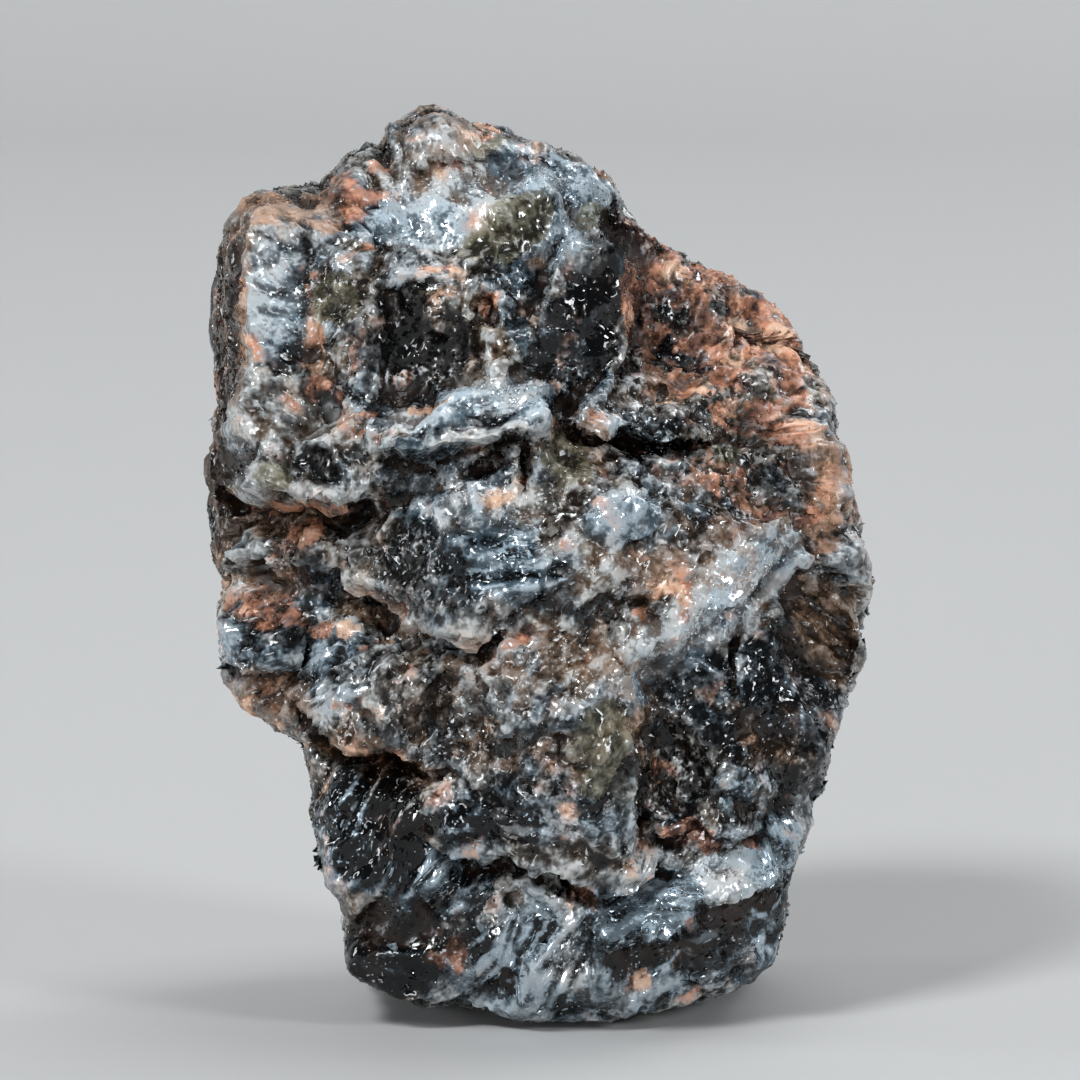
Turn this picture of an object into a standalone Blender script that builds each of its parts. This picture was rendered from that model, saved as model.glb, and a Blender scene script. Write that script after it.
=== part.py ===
"""Carbonado diamond: one rough stone of black sintered diamond, standing on its broken foot.

The stone is one solid. It is worked out round its heart in a face frame: u runs to the right
of the show face, v runs up the face and w comes out of it. A pebble drawn inside the face's
outline is cut by large flats, then crystal faces, ledges, lumps and pits are laid on each of
its sides, and last it is roughened into chips. Sizes in this frame are in millimetres.
"""

import math

import bmesh
import bpy
import numpy as np
from mathutils import Matrix

# Driving dimensions
MM = 0.001                      # metres in a millimetre
LEAN = math.radians(7.0)        # how far the show face tips back
HEART_HEIGHT = 5.50             # the heart of the stone above the surface it stands on
FRONT_DEPTH = 3.60              # from the heart out to the show face
BACK_DEPTH = 3.20               # from the heart to the back
GIRTH = (4.3, 6.0, 3.6)         # half width, height and depth that the net of points is spread over
NET = 72                        # squares of the net along each edge of its cube
FACES_KEPT = 0.135              # share of the net's faces left after thinning

PEBBLE_POWER = 2.6              # 2 is an ellipse through the stone, larger is boxier
FOOT_POWER = 1.3                # added to the power at the foot, which is nearly square
ARRIS_POWER = 22.0              # how crisply the big flats meet the pebble
SOFT_ARC = math.radians(13.0)   # arc over which the outline is evened out away from the rim
RIM_MARGIN = 1.04               # the body is drawn this much past the outline, then held in to it
OUTLINE_POWER = 60.0            # how tightly the outline holds what stands past it
ROUGH_MARGIN = 0.03             # room left inside the outline for the roughness, and outside it

# The face's outline, clockwise from the crown (u, v)
OUTLINE = [
    (-1.40, 6.15), (-0.90, 6.00), (-0.35, 5.80), (0.20, 5.60), (0.60, 5.45), (0.95, 5.15),
    (1.15, 4.80), (1.40, 4.50), (2.00, 4.05), (2.65, 3.85), (3.10, 3.55), (3.35, 3.25),
    (3.45, 2.90), (3.75, 2.55), (3.90, 2.25), (3.85, 1.95), (4.15, 1.05), (4.25, 0.45),
    (4.30, -0.85), (4.05, -1.60), (3.85, -2.10), (3.80, -2.45), (3.45, -3.50), (3.30, -3.85),
    (3.30, -4.30), (3.20, -4.70), (3.05, -5.05), (2.75, -5.30), (2.10, -5.50), (1.35, -5.65),
    (0.50, -5.75), (-0.15, -5.85), (-0.65, -5.65), (-1.00, -5.55), (-1.40, -5.60),
    (-1.85, -5.45), (-2.45, -5.05), (-2.55, -4.20), (-2.75, -4.05),
    (-2.95, -3.20), (-2.95, -2.80), (-3.05, -2.20), (-3.50, -1.90), (-3.90, -1.65),
    (-4.10, -1.40), (-4.15, -0.90), (-4.10, -0.30), (-4.30, 1.50), (-4.25, 2.25),
    (-4.30, 3.45), (-4.15, 4.60), (-3.85, 4.90), (-3.60, 5.05), (-2.85, 5.10), (-2.65, 5.40),
    (-2.25, 5.70), (-2.05, 5.55), (-1.95, 5.90), (-1.70, 6.10),
]

# Large flats that cut the pebble: which way each faces (u, v, w) and its distance from the heart
FLATS = [
    ((0.10, 0.55, 0.83), 4.75),     # forehead, sloping up and back
    ((0.52, 0.46, 0.72), 3.80),     # right shoulder
    ((0.50, -0.22, 0.84), 3.95),    # lower right
    ((-0.50, -0.12, 0.86), 3.45),   # lower left
    ((-0.985, 0.00, 0.17), 4.30),   # left flank, a split face
    ((0.99, -0.05, -0.12), 4.45),   # right flank
    ((0.12, 0.10, -0.99), 3.15),    # back
    ((-0.66, 0.25, -0.71), 3.75),   # back left
    ((0.70, -0.10, -0.71), 3.90),   # back right
    ((0.05, 0.72, -0.69), 4.75),    # back of the crown
    ((-0.30, -0.55, -0.78), 4.30),  # back of the foot
]

# Each side is looked at square on: its axes across, up and out, in (u, v, w)
SIDES = {
    "front": ((1, 0, 0), (0, 1, 0), (0, 0, 1)),
    "right": ((0, 0, -1), (0, 1, 0), (1, 0, 0)),
    "back": ((-1, 0, 0), (0, 1, 0), (0, 0, -1)),
    "left": ((0, 0, 1), (0, 1, 0), (-1, 0, 0)),
}

# Crystal faces and split planes: centre (across, up), height out of the heart, half size,
# turn in degrees, slope across and up, and how soft the edge is
FACETS = {
    "front": [
        ((-1.46, 2.99), 2.95, (0.72, 0.66), 4, (0.05, 0.00), 0.12),     # left dark window
        ((0.50, 3.20), 2.85, (0.60, 1.05), -24, (-0.32, 0.16), 0.14),   # right dark window
        ((-0.42, 4.45), 2.68, (0.80, 0.42), 18, (0.02, -0.62), 0.16),   # olive forehead
        ((-2.90, 3.30), 3.12, (0.95, 1.25), 0, (0.08, -0.08), 0.14),    # left shoulder
        ((-2.80, 1.72), 3.25, (0.95, 0.62), 0, (0.12, -0.12), 0.18),    # left slab
        ((-0.88, 2.04), 3.74, (1.15, 0.36), 5, (0.00, -0.55), 0.22),    # bright ledge slab
        ((2.57, -2.53), 2.82, (1.15, 0.95), -10, (-0.46, 0.10), 0.18),  # lower right glassy
        ((-1.98, -3.31), 2.72, (0.80, 0.90), -16, (0.36, 0.00), 0.18),  # lower left block
        ((1.40, -4.20), 3.02, (0.74, 0.38), 2, (-0.10, -0.34), 0.16),   # striated foot block
        ((2.55, -3.75), 2.62, (0.44, 0.42), 10, (-0.30, -0.36), 0.18),  # pale foot patch
        ((-1.85, -5.05), 2.42, (0.66, 0.42), -14, (0.26, 0.30), 0.20),  # smooth foot corner
    ],
    "right": [
        ((-0.60, 1.30), 4.02, (1.10, 1.10), 12, (-0.08, -0.10), 0.20),
        ((0.90, -1.90), 3.72, (0.95, 0.95), -20, (-0.22, 0.16), 0.18),
        ((0.40, 3.35), 3.35, (0.90, 0.55), -8, (-0.10, -0.55), 0.16),
        ((-0.70, -3.90), 3.10, (0.80, 0.70), 6, (0.12, 0.22), 0.18),
    ],
    "back": [
        ((-1.60, 2.60), 2.95, (1.25, 1.00), 14, (0.10, -0.12), 0.20),
        ((1.50, 1.10), 2.90, (1.05, 1.30), -10, (-0.22, 0.04), 0.18),
        ((-0.70, -0.70), 3.22, (1.30, 0.70), 6, (0.02, -0.28), 0.20),
        ((1.20, -2.90), 2.72, (1.00, 0.90), 18, (-0.26, 0.14), 0.18),
        ((-1.30, -3.40), 2.85, (0.90, 0.80), -12, (0.22, 0.10), 0.18),
    ],
    "left": [
        ((0.40, 2.90), 4.16, (1.30, 1.50), 0, (-0.16, 0.00), 0.16),     # split flank
        ((-1.30, 1.20), 3.90, (0.85, 1.10), 8, (0.20, 0.02), 0.18),
        ((0.30, -2.90), 3.00, (0.95, 0.80), -6, (-0.16, 0.12), 0.18),
        ((-0.80, -4.30), 2.50, (0.80, 0.60), 10, (0.20, 0.16), 0.18),
    ],
}

# Ledges: the lip's line with its high side to the left of travel, how far the lip stands out,
# how deep the break behind it is, how far that runs out, and how far the lip hangs over
LEDGES = {
    "front": [
        # under the left slab
        ([(-3.90, 1.30), (-3.60, 1.00), (-3.10, 0.92), (-2.55, 1.00), (-2.10, 1.25)],
         0.18, 0.85, 0.64, 0.24),
        # under the middle bulge
        ([(-2.55, 0.25), (-2.35, -0.20), (-1.80, -0.45), (-1.25, -0.65), (-0.90, -0.75),
          (-0.30, -0.60)], 0.18, 0.62, 0.56, 0.22),
        # under the left lip
        ([(-4.10, -0.85), (-3.80, -1.05), (-3.40, -1.20), (-3.10, -1.15), (-2.85, -0.85)],
         0.12, 0.32, 0.45, 0.12),
        # under the lower left knob
        ([(-3.15, -1.55), (-2.70, -1.95), (-2.30, -2.08), (-1.80, -2.05), (-1.40, -2.20),
          (-1.05, -2.45)], 0.18, 0.66, 0.70, 0.20),
        # under the belly, above the foot
        ([(-1.45, -3.15), (-1.15, -3.38), (-0.90, -3.50), (-0.25, -3.48), (0.30, -3.65),
          (0.80, -3.80), (1.35, -3.72), (1.75, -3.45)], 0.15, 0.50, 0.50, 0.22),
        # foot of the bright ledge slab
        ([(-1.90, 1.55), (-1.25, 1.45), (-0.60, 1.68), (0.20, 1.85)], 0.04, 0.18, 0.30, 0.05),
        # dark band on the right
        ([(0.15, 2.05), (0.60, 1.98), (0.88, 1.78), (1.25, 1.94), (1.62, 1.76), (2.05, 1.88),
          (2.40, 1.60)], 0.08, 0.58, 0.60, 0.12),
        # the crown's right edge, with the shoulder set back behind it
        ([(0.95, 2.25), (1.20, 3.20), (1.15, 4.05), (0.75, 4.90)], 0.05, 0.80, 1.70, 0.00),
        # diagonal ridge on the right
        ([(1.00, -1.55), (2.00, -0.85), (2.70, -0.30), (3.40, 0.40)], 0.15, 0.52, 1.05, 0.00),
        # the belly's right edge
        ([(1.22, -3.60), (1.30, -2.85), (1.30, -2.15), (1.42, -1.60)], 0.08, 0.46, 0.85, 0.00),
        # rusty break above the pale patch
        ([(1.45, -3.35), (2.00, -3.12), (2.70, -3.32)], 0.08, 0.28, 0.35, 0.08),
        # under the crown's rough top
        ([(-1.90, 5.20), (-1.15, 5.32), (-0.25, 5.35), (0.70, 5.10)], 0.10, 0.16, 0.35, 0.04),
    ],
    "right": [
        ([(-2.30, 0.55), (-1.70, -0.10), (-0.90, -0.20), (-0.50, -0.75), (0.30, -0.60)],
         0.12, 0.34, 0.90, 0.08),
        ([(0.40, 0.60), (1.00, 0.15), (1.90, 0.40)], 0.08, 0.26, 0.60, 0.06),
        ([(-1.80, -2.60), (-1.20, -3.00), (-0.50, -2.80)], 0.12, 0.36, 0.60, 0.10),
        ([(0.10, -3.30), (0.80, -2.95), (1.60, -3.20)], 0.08, 0.28, 0.50, 0.06),
        ([(-1.30, 3.30), (-0.80, 2.80), (0.10, 2.90), (0.50, 2.40)], 0.08, 0.28, 0.70, 0.06),
    ],
    "back": [
        ([(-3.00, 1.50), (-2.40, 1.00), (-1.60, 1.15), (-1.10, 0.55), (-0.20, 0.60)],
         0.14, 0.36, 0.80, 0.10),
        ([(0.10, -1.20), (0.60, -1.65), (1.30, -1.50), (1.70, -2.00), (2.40, -1.80)],
         0.12, 0.40, 0.70, 0.12),
        ([(-2.30, -2.90), (-1.70, -2.35), (-0.90, -2.50), (-0.50, -3.00)], 0.10, 0.34, 0.60, 0.10),
        ([(-0.90, 4.30), (-0.20, 3.75), (0.60, 3.90), (1.10, 3.40)], 0.10, 0.26, 0.70, 0.06),
        ([(0.60, 0.20), (1.30, 0.55), (2.10, 0.20)], 0.08, 0.26, 0.50, 0.06),
    ],
    "left": [
        ([(-2.40, 1.00), (-1.80, 0.35), (-1.00, 0.50), (-0.60, 0.00)], 0.12, 0.36, 0.70, 0.10),
        ([(0.20, 0.90), (0.90, 0.55), (1.50, 0.95), (2.10, 0.90)], 0.12, 0.32, 0.60, 0.10),
        ([(-1.60, -1.60), (-0.90, -2.05), (-0.20, -1.75)], 0.12, 0.38, 0.70, 0.10),
        ([(0.50, -1.35), (1.10, -1.80), (1.70, -1.60)], 0.10, 0.30, 0.60, 0.08),
    ],
}

# Lumps stand out and pits sink in: centre (across, up), half size, turn in degrees, height
LUMPS = {
    "front": [
        ((-1.20, 0.22), (1.35, 0.78), -8, 0.42),    # middle bulge
        ((-2.83, 0.28), (0.36, 0.44), 0, 0.38),     # knob beside it
        ((-3.50, -0.72), (0.62, 0.38), -15, 0.24),  # left lip
        ((-2.15, -1.45), (0.88, 0.62), 10, 0.42),   # lower left knob
        ((0.00, -2.25), (1.60, 1.45), 0, 0.36),     # belly
        ((-1.30, -2.85), (0.65, 0.45), 20, 0.22),
        ((-2.35, 4.88), (0.32, 0.42), 0, 0.26),     # rusty lump on the left shoulder
        ((-1.20, 5.65), (0.55, 0.30), 10, 0.22),    # crown top
        ((2.10, 3.25), (0.55, 0.42), 20, 0.18),     # right shoulder
        ((3.00, 2.60), (0.55, 0.50), -30, 0.18),
        ((2.85, 1.30), (0.65, 0.52), 10, 0.18),
        ((1.08, 0.82), (0.48, 0.38), 0, 0.20),
        ((2.60, -2.55), (0.36, 0.52), 0, 0.20),     # glassy block low on the right
        ((-3.38, 1.20), (0.40, 0.26), 0, 0.12),     # lobes under the left slab
        ((-2.72, 1.24), (0.28, 0.20), 0, 0.12),
        ((-3.36, -1.82), (0.22, 0.17), 0, 0.12),    # chip on the left edge
        ((1.50, -0.80), (0.55, 0.48), 30, 0.18),
    ],
    "right": [
        ((-1.20, 2.30), (0.70, 0.60), 15, 0.22),
        ((0.90, 0.80), (0.80, 0.55), -10, 0.26),
        ((-0.90, -1.60), (0.70, 0.60), 0, 0.26),
        ((1.00, -4.20), (0.60, 0.50), 10, 0.20),
    ],
    "back": [
        ((0.70, 2.60), (0.80, 0.70), 20, 0.26),
        ((-1.80, 0.00), (0.70, 0.60), -20, 0.28),
        ((1.60, -0.60), (0.75, 0.55), 10, 0.26),
        ((0.10, -4.00), (0.80, 0.60), 0, 0.24),
        ((-0.30, 4.70), (0.70, 0.50), 0, 0.22),
    ],
    "left": [
        ((1.10, -0.60), (0.70, 0.60), 10, 0.24),
        ((-0.90, -0.70), (0.80, 0.60), -15, 0.26),
        ((-1.10, 3.40), (0.60, 0.60), 0, 0.20),
        ((1.10, -3.90), (0.55, 0.45), 20, 0.18),
    ],
}

PITS = {
    "front": [
        ((-0.70, 3.45), (0.18, 0.28), 0, 0.22),     # rusty pit between the windows
        ((-0.66, 1.36), (0.34, 0.15), 20, 0.32),    # slots below the bright slab
        ((-0.14, 1.30), (0.10, 0.36), -6, 0.36),
        ((0.50, 1.68), (0.28, 0.36), 0, 0.32),
        ((1.30, 1.66), (0.42, 0.20), 0, 0.24),      # deepest part of the dark band
        ((1.42, 2.38), (0.28, 0.11), -6, 0.20),     # slot above it
        ((-3.80, 3.90), (0.10, 0.55), 0, 0.14),     # groove down the left flank
        ((3.65, -0.75), (0.50, 0.85), -8, 0.48),    # brown hollow on the right
        ((-3.55, -0.15), (0.45, 0.42), 0, 0.42),    # rusty pocket on the left
        ((-2.70, 1.45), (0.24, 0.18), 0, 0.10),
        ((1.78, -2.45), (0.42, 0.72), 0, 0.34),     # dark recess right of the belly
        ((2.62, -1.00), (0.09, 0.55), -8, 0.20),    # crack below the ridge
        ((0.50, -3.90), (0.38, 0.18), -8, 0.34),
    ],
    "right": [
        ((0.20, 0.30), (0.40, 0.26), 20, 0.30),
        ((-0.20, -2.30), (0.36, 0.30), 0, 0.30),
    ],
    "back": [
        ((0.20, 1.60), (0.42, 0.30), -15, 0.34),
        ((-1.10, -1.70), (0.36, 0.26), 10, 0.32),
        ((1.90, 3.00), (0.34, 0.26), 0, 0.28),
    ],
    "left": [
        ((0.00, 0.00), (0.36, 0.26), 0, 0.30),
        ((0.30, -2.00), (0.36, 0.24), 12, 0.28),
    ],
}

LEDGE_EDGE = 0.07               # width of the drop at a lip
LIP_REACH = 0.55                # how far a lip's swelling runs back
WANDER = [(0.16, 1.00), (0.07, 0.33)]   # how far the features' edges wander, over what length
SWELL = (0.16, 2.40)            # slow swelling of the whole surface: height and length
CHIPS = [(0.17, 1.50), (0.15, 0.72)]    # slope and size of the broken chips, coarse to fine
GRIT = (0.035, 0.42)            # height and size of the finest roughness

STONE_COLOUR = (0.085, 0.075, 0.068, 1.0)
STONE_ROUGHNESS = 0.34


def smooth_step(low, high, value):
    """0 below low, 1 above high, easing between."""
    share = np.clip((value - low) / (high - low), 0.0, 1.0)
    return share * share * (3.0 - 2.0 * share)


def chance(cells, salt):
    """A fixed random share, 0 to 1, for each whole-numbered cell."""
    mixed = (cells[..., 0] * 73856093) ^ (cells[..., 1] * 19349663) ^ (cells[..., 2] * 83492791)
    mixed = (mixed ^ (salt * 2654435761)) & 0xFFFFFFFF
    mixed = ((mixed ^ (mixed >> 15)) * 2246822519) & 0xFFFFFFFF
    mixed = ((mixed ^ (mixed >> 13)) * 3266489917) & 0xFFFFFFFF
    return ((mixed ^ (mixed >> 16)) & 0xFFFFFF) / float(0x1000000)


def noise(points, size, salt):
    """Smooth noise, -1 to 1, over cells of the given size."""
    scaled = points / size
    cells = np.floor(scaled).astype(np.int64)
    share = scaled - cells
    share = share * share * (3.0 - 2.0 * share)
    total = np.zeros(len(points))
    for corner in np.ndindex(2, 2, 2):
        weight = np.prod(np.where(corner, share, 1.0 - share), axis=1)
        total += weight * chance(cells + np.array(corner), salt)
    return 2.0 * total - 1.0


def chips(points, size, salt):
    """Flat chips of random slope: each point takes the plane of its nearest chip."""
    scaled = points / size
    cells = np.floor(scaled).astype(np.int64)
    nearest = np.full(len(points), np.inf)
    second = np.full(len(points), np.inf)
    height = np.zeros(len(points))
    for step in np.ndindex(3, 3, 3):
        cell = cells + np.array(step) - 1
        spot = cell + np.stack([chance(cell, salt + axis) for axis in (1, 2, 3)], axis=1)
        slope = np.stack([chance(cell, salt + axis) - 0.5 for axis in (4, 5, 6)], axis=1)
        away = scaled - spot
        distance = np.sqrt((away ** 2).sum(axis=1))
        plane = 2.0 * (slope * away).sum(axis=1) + 0.5 * (chance(cell, salt + 7) - 0.5)
        closer = distance < nearest
        second = np.where(closer, nearest, np.minimum(second, distance))
        height = np.where(closer, plane, height)
        nearest = np.where(closer, distance, nearest)
    return size * height * smooth_step(0.0, 0.22, second - nearest)


def outline_reach(angle):
    """Distance from the heart to the face's outline, at an angle round the face."""
    corners = np.array(OUTLINE)
    around = np.arctan2(corners[:, 1], corners[:, 0])
    return np.interp(angle, around, np.hypot(corners[:, 0], corners[:, 1]), period=math.tau)


def body_reach(ways):
    """Distance from the heart to the plain body along each way: pebble and flats as one."""
    across = np.hypot(ways[:, 0], ways[:, 1])
    angle = np.arctan2(ways[:, 1], ways[:, 0])
    evened = np.mean([outline_reach(angle + turn) for turn in np.linspace(-SOFT_ARC, SOFT_ARC, 9)],
                     axis=0)
    edge = evened + (outline_reach(angle) - evened) * smooth_step(0.78, 0.98, across)
    edge *= RIM_MARGIN
    depth = np.where(ways[:, 2] > 0.0, FRONT_DEPTH, BACK_DEPTH)
    power = PEBBLE_POWER + FOOT_POWER * smooth_step(-0.35, -0.85, ways[:, 1])
    inverse = ((across / edge) ** power + (np.abs(ways[:, 2]) / depth) ** power) ** (1.0 / power)
    total = inverse ** ARRIS_POWER
    for facing, distance in FLATS:
        total += np.maximum(ways @ np.array(facing) / distance, 0.0) ** ARRIS_POWER
    return total ** (-1.0 / ARRIS_POWER)


def turned(across, up, centre, half, turn):
    """Places measured from a feature's centre, along its own axes, in its half sizes."""
    angle = math.radians(turn)
    right, above = across - centre[0], up - centre[1]
    along = (right * math.cos(angle) + above * math.sin(angle)) / half[0]
    over = (above * math.cos(angle) - right * math.sin(angle)) / half[1]
    return along, over


def facet(across, up, out, centre, height, half, turn, slope, softness):
    """Lays a flat, slanting patch with a squarish edge into the surface."""
    along, over = turned(across, up, centre, half, turn)
    inside = smooth_step(1.0 + softness, 1.0 - softness, (along ** 6 + over ** 6) ** (1.0 / 6.0))
    plane = height + slope[0] * (across - centre[0]) + slope[1] * (up - centre[1])
    return (plane - out) * inside


def ledge(across, up, line, lip, depth, reach, hang):
    """A lip along a line with a break behind it: the change of height, and of place."""
    nearest = np.full(len(across), np.inf)
    side = np.zeros(len(across))
    share = np.zeros(len(across))
    lean = np.zeros((len(across), 2))
    last = len(line) - 1
    for number, (start, end) in enumerate(zip(line, line[1:])):
        run = np.subtract(end, start)
        length = np.hypot(*run)
        right, above = across - start[0], up - start[1]
        along = np.clip((right * run[0] + above * run[1]) / length ** 2, 0.0, 1.0)
        distance = np.hypot(right - along * run[0], above - along * run[1])
        closer = distance < nearest
        nearest = np.where(closer, distance, nearest)
        side = np.where(closer, np.sign(run[0] * above - run[1] * right) * distance, side)
        share = np.where(closer, (number + along) / last, share)
        lean[closer] = (run[1] / length, -run[0] / length)
    fade = smooth_step(0.0, 0.22, share) * smooth_step(1.0, 0.78, share)
    above_edge = smooth_step(-LEDGE_EDGE, LEDGE_EDGE, side)
    high = lip * np.exp(-(np.maximum(side, 0.0) / LIP_REACH) ** 2)
    low = -depth * smooth_step(-reach, 0.0, side)
    rise = fade * (low + (high - low) * above_edge)
    droop = fade * above_edge * np.exp(-(side / LIP_REACH) ** 2) * hang
    return rise, lean * droop[:, None]


def dress_side(points, side):
    """Adds one side's crystal faces, ledges, lumps and pits, seen square on."""
    axes = np.array(SIDES[side], dtype=float)
    seen = points @ axes.T
    outward = seen[:, 2] / np.sqrt((seen ** 2).sum(axis=1))
    facing = smooth_step(0.04, 0.30, outward)
    across = seen[:, 0] + sum(far * noise(points, length, 11) for far, length in WANDER)
    up = seen[:, 1] + sum(far * noise(points, length, 12) for far, length in WANDER)
    for entry in FACETS[side]:
        seen[:, 2] += facing * facet(across, up, seen[:, 2], *entry)
    for centre, half, turn, height in LUMPS[side]:
        along, over = turned(across, up, centre, half, turn)
        seen[:, 2] += facing * height * np.clip(1.0 - along ** 2 - over ** 2, 0.0, 1.0) ** 0.6
    for line, lip, depth, reach, hang in LEDGES[side]:
        rise, drift = ledge(across, up, line, lip, depth, reach, hang)
        seen[:, 2] += facing * rise
        seen[:, :2] += facing[:, None] * drift
    for centre, half, turn, depth in PITS[side]:
        along, over = turned(across, up, centre, half, turn)
        seen[:, 2] -= facing * depth * smooth_step(1.15, 0.55, np.hypot(along, over))
    return seen @ axes


def kept_inside(points, margin):
    """Draws in whatever stands past the face's outline less a margin, so that the outline holds."""
    across = np.hypot(points[:, 0], points[:, 1])
    limit = outline_reach(np.arctan2(points[:, 1], points[:, 0])) - margin
    share = (1.0 + (across / limit) ** OUTLINE_POWER) ** (-1.0 / OUTLINE_POWER)
    return points * np.stack([share, share, np.ones(len(points))], axis=1)


def stone_points(ways):
    """The stone's surface along each way from its heart, in the face frame."""
    points = ways * body_reach(ways)[:, None]
    height, length = SWELL
    points += ways * (height * noise(points, length, 21))[:, None]
    for side in SIDES:
        points = dress_side(points, side)
    points = kept_inside(points, ROUGH_MARGIN)
    rough = np.zeros(len(points))
    for number, (slope, size) in enumerate(CHIPS):
        rough += slope * chips(points, size, 31 + 10 * number)
    height, length = GRIT
    rough += height * noise(points, length, 61)
    return kept_inside(points + ways * rough[:, None], -ROUGH_MARGIN)


def stand_up(points):
    """Turns the face frame into the world: the face leans back and looks along -Y."""
    right, above, out = points.T
    forward = above * math.sin(LEAN) - out * math.cos(LEAN)
    height = HEART_HEIGHT + above * math.cos(LEAN) + out * math.sin(LEAN)
    return np.stack([right, forward, height], axis=1) * MM


def net_mesh():
    """A cube's even net of points, spread over the stone's girth and carried to its surface."""
    net = bmesh.new()
    bmesh.ops.create_cube(net, size=2.0)
    bmesh.ops.subdivide_edges(net, edges=net.edges[:], cuts=NET - 1, use_grid_fill=True)
    cube = np.array([vertex.co for vertex in net.verts])
    ways = np.tan(cube * math.pi / 4.0) * np.array(GIRTH)
    ways /= np.sqrt((ways ** 2).sum(axis=1))[:, None]
    for vertex, place in zip(net.verts, stand_up(stone_points(ways))):
        vertex.co = place
    bmesh.ops.triangulate(net, faces=net.faces[:])
    mesh = bpy.data.meshes.new("net")
    net.to_mesh(mesh)
    net.free()
    return mesh


def thinned(mesh):
    """The same form with fewer faces, kept where the surface bends most."""
    model = bpy.data.objects.new("net", mesh)
    bpy.context.collection.objects.link(model)
    thinning = model.modifiers.new("thinning", 'DECIMATE')
    thinning.ratio = FACES_KEPT
    graph = bpy.context.evaluated_depsgraph_get()
    result = bpy.data.meshes.new_from_object(model.evaluated_get(graph))
    bpy.data.objects.remove(model)
    return result


def cut_foot(mesh):
    """Cuts the stone off flat where it stands and closes the cut with one face."""
    body = bmesh.new()
    body.from_mesh(mesh)
    everything = body.verts[:] + body.edges[:] + body.faces[:]
    cut = bmesh.ops.bisect_plane(body, geom=everything, plane_co=(0, 0, 0), plane_no=(0, 0, -1),
                                 dist=1e-7, clear_outer=True)
    rim = [part for part in cut["geom_cut"] if isinstance(part, bmesh.types.BMEdge)]
    bmesh.ops.holes_fill(body, edges=rim)
    bmesh.ops.recalc_face_normals(body, faces=body.faces[:])
    body.to_mesh(mesh)
    body.free()


def set_on_origin(mesh):
    """Puts the middle of the box round the stone over the origin."""
    places = np.array([vertex.co for vertex in mesh.vertices])
    middle = (places.min(axis=0) + places.max(axis=0)) / 2.0
    mesh.transform(Matrix.Translation((-middle[0], -middle[1], 0.0)))


def stone_material():
    material = bpy.data.materials.new("sintered diamond")
    material.use_nodes = True
    shader = material.node_tree.nodes["Principled BSDF"]
    shader.inputs["Base Color"].default_value = STONE_COLOUR
    shader.inputs["Roughness"].default_value = STONE_ROUGHNESS
    shader.inputs["Metallic"].default_value = 0.0
    return material


def make_stone():
    mesh = thinned(net_mesh())
    cut_foot(mesh)
    set_on_origin(mesh)
    mesh.name = "carbonado"
    mesh.materials.append(stone_material())
    stone = bpy.data.objects.new("carbonado", mesh)
    bpy.context.collection.objects.link(stone)
    return stone


def main():
    for old in list(bpy.data.objects):
        bpy.data.objects.remove(old)
    make_stone()


main()
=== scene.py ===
import math
import bpy
import numpy as np
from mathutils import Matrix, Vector


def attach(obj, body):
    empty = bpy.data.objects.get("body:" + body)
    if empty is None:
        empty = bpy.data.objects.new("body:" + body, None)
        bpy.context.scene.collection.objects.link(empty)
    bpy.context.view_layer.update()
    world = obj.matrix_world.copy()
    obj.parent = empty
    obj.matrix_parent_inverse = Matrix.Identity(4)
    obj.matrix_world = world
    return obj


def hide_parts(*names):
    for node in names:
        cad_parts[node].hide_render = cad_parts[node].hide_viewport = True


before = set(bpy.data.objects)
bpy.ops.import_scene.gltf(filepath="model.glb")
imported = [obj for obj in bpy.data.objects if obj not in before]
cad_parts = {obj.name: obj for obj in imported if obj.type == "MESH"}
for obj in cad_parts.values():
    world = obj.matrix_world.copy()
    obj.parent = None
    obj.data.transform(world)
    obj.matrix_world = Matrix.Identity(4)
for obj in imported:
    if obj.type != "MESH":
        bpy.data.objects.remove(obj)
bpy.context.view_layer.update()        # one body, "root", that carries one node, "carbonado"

mm = 0.001
print("carbonado: frame loaded")

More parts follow.
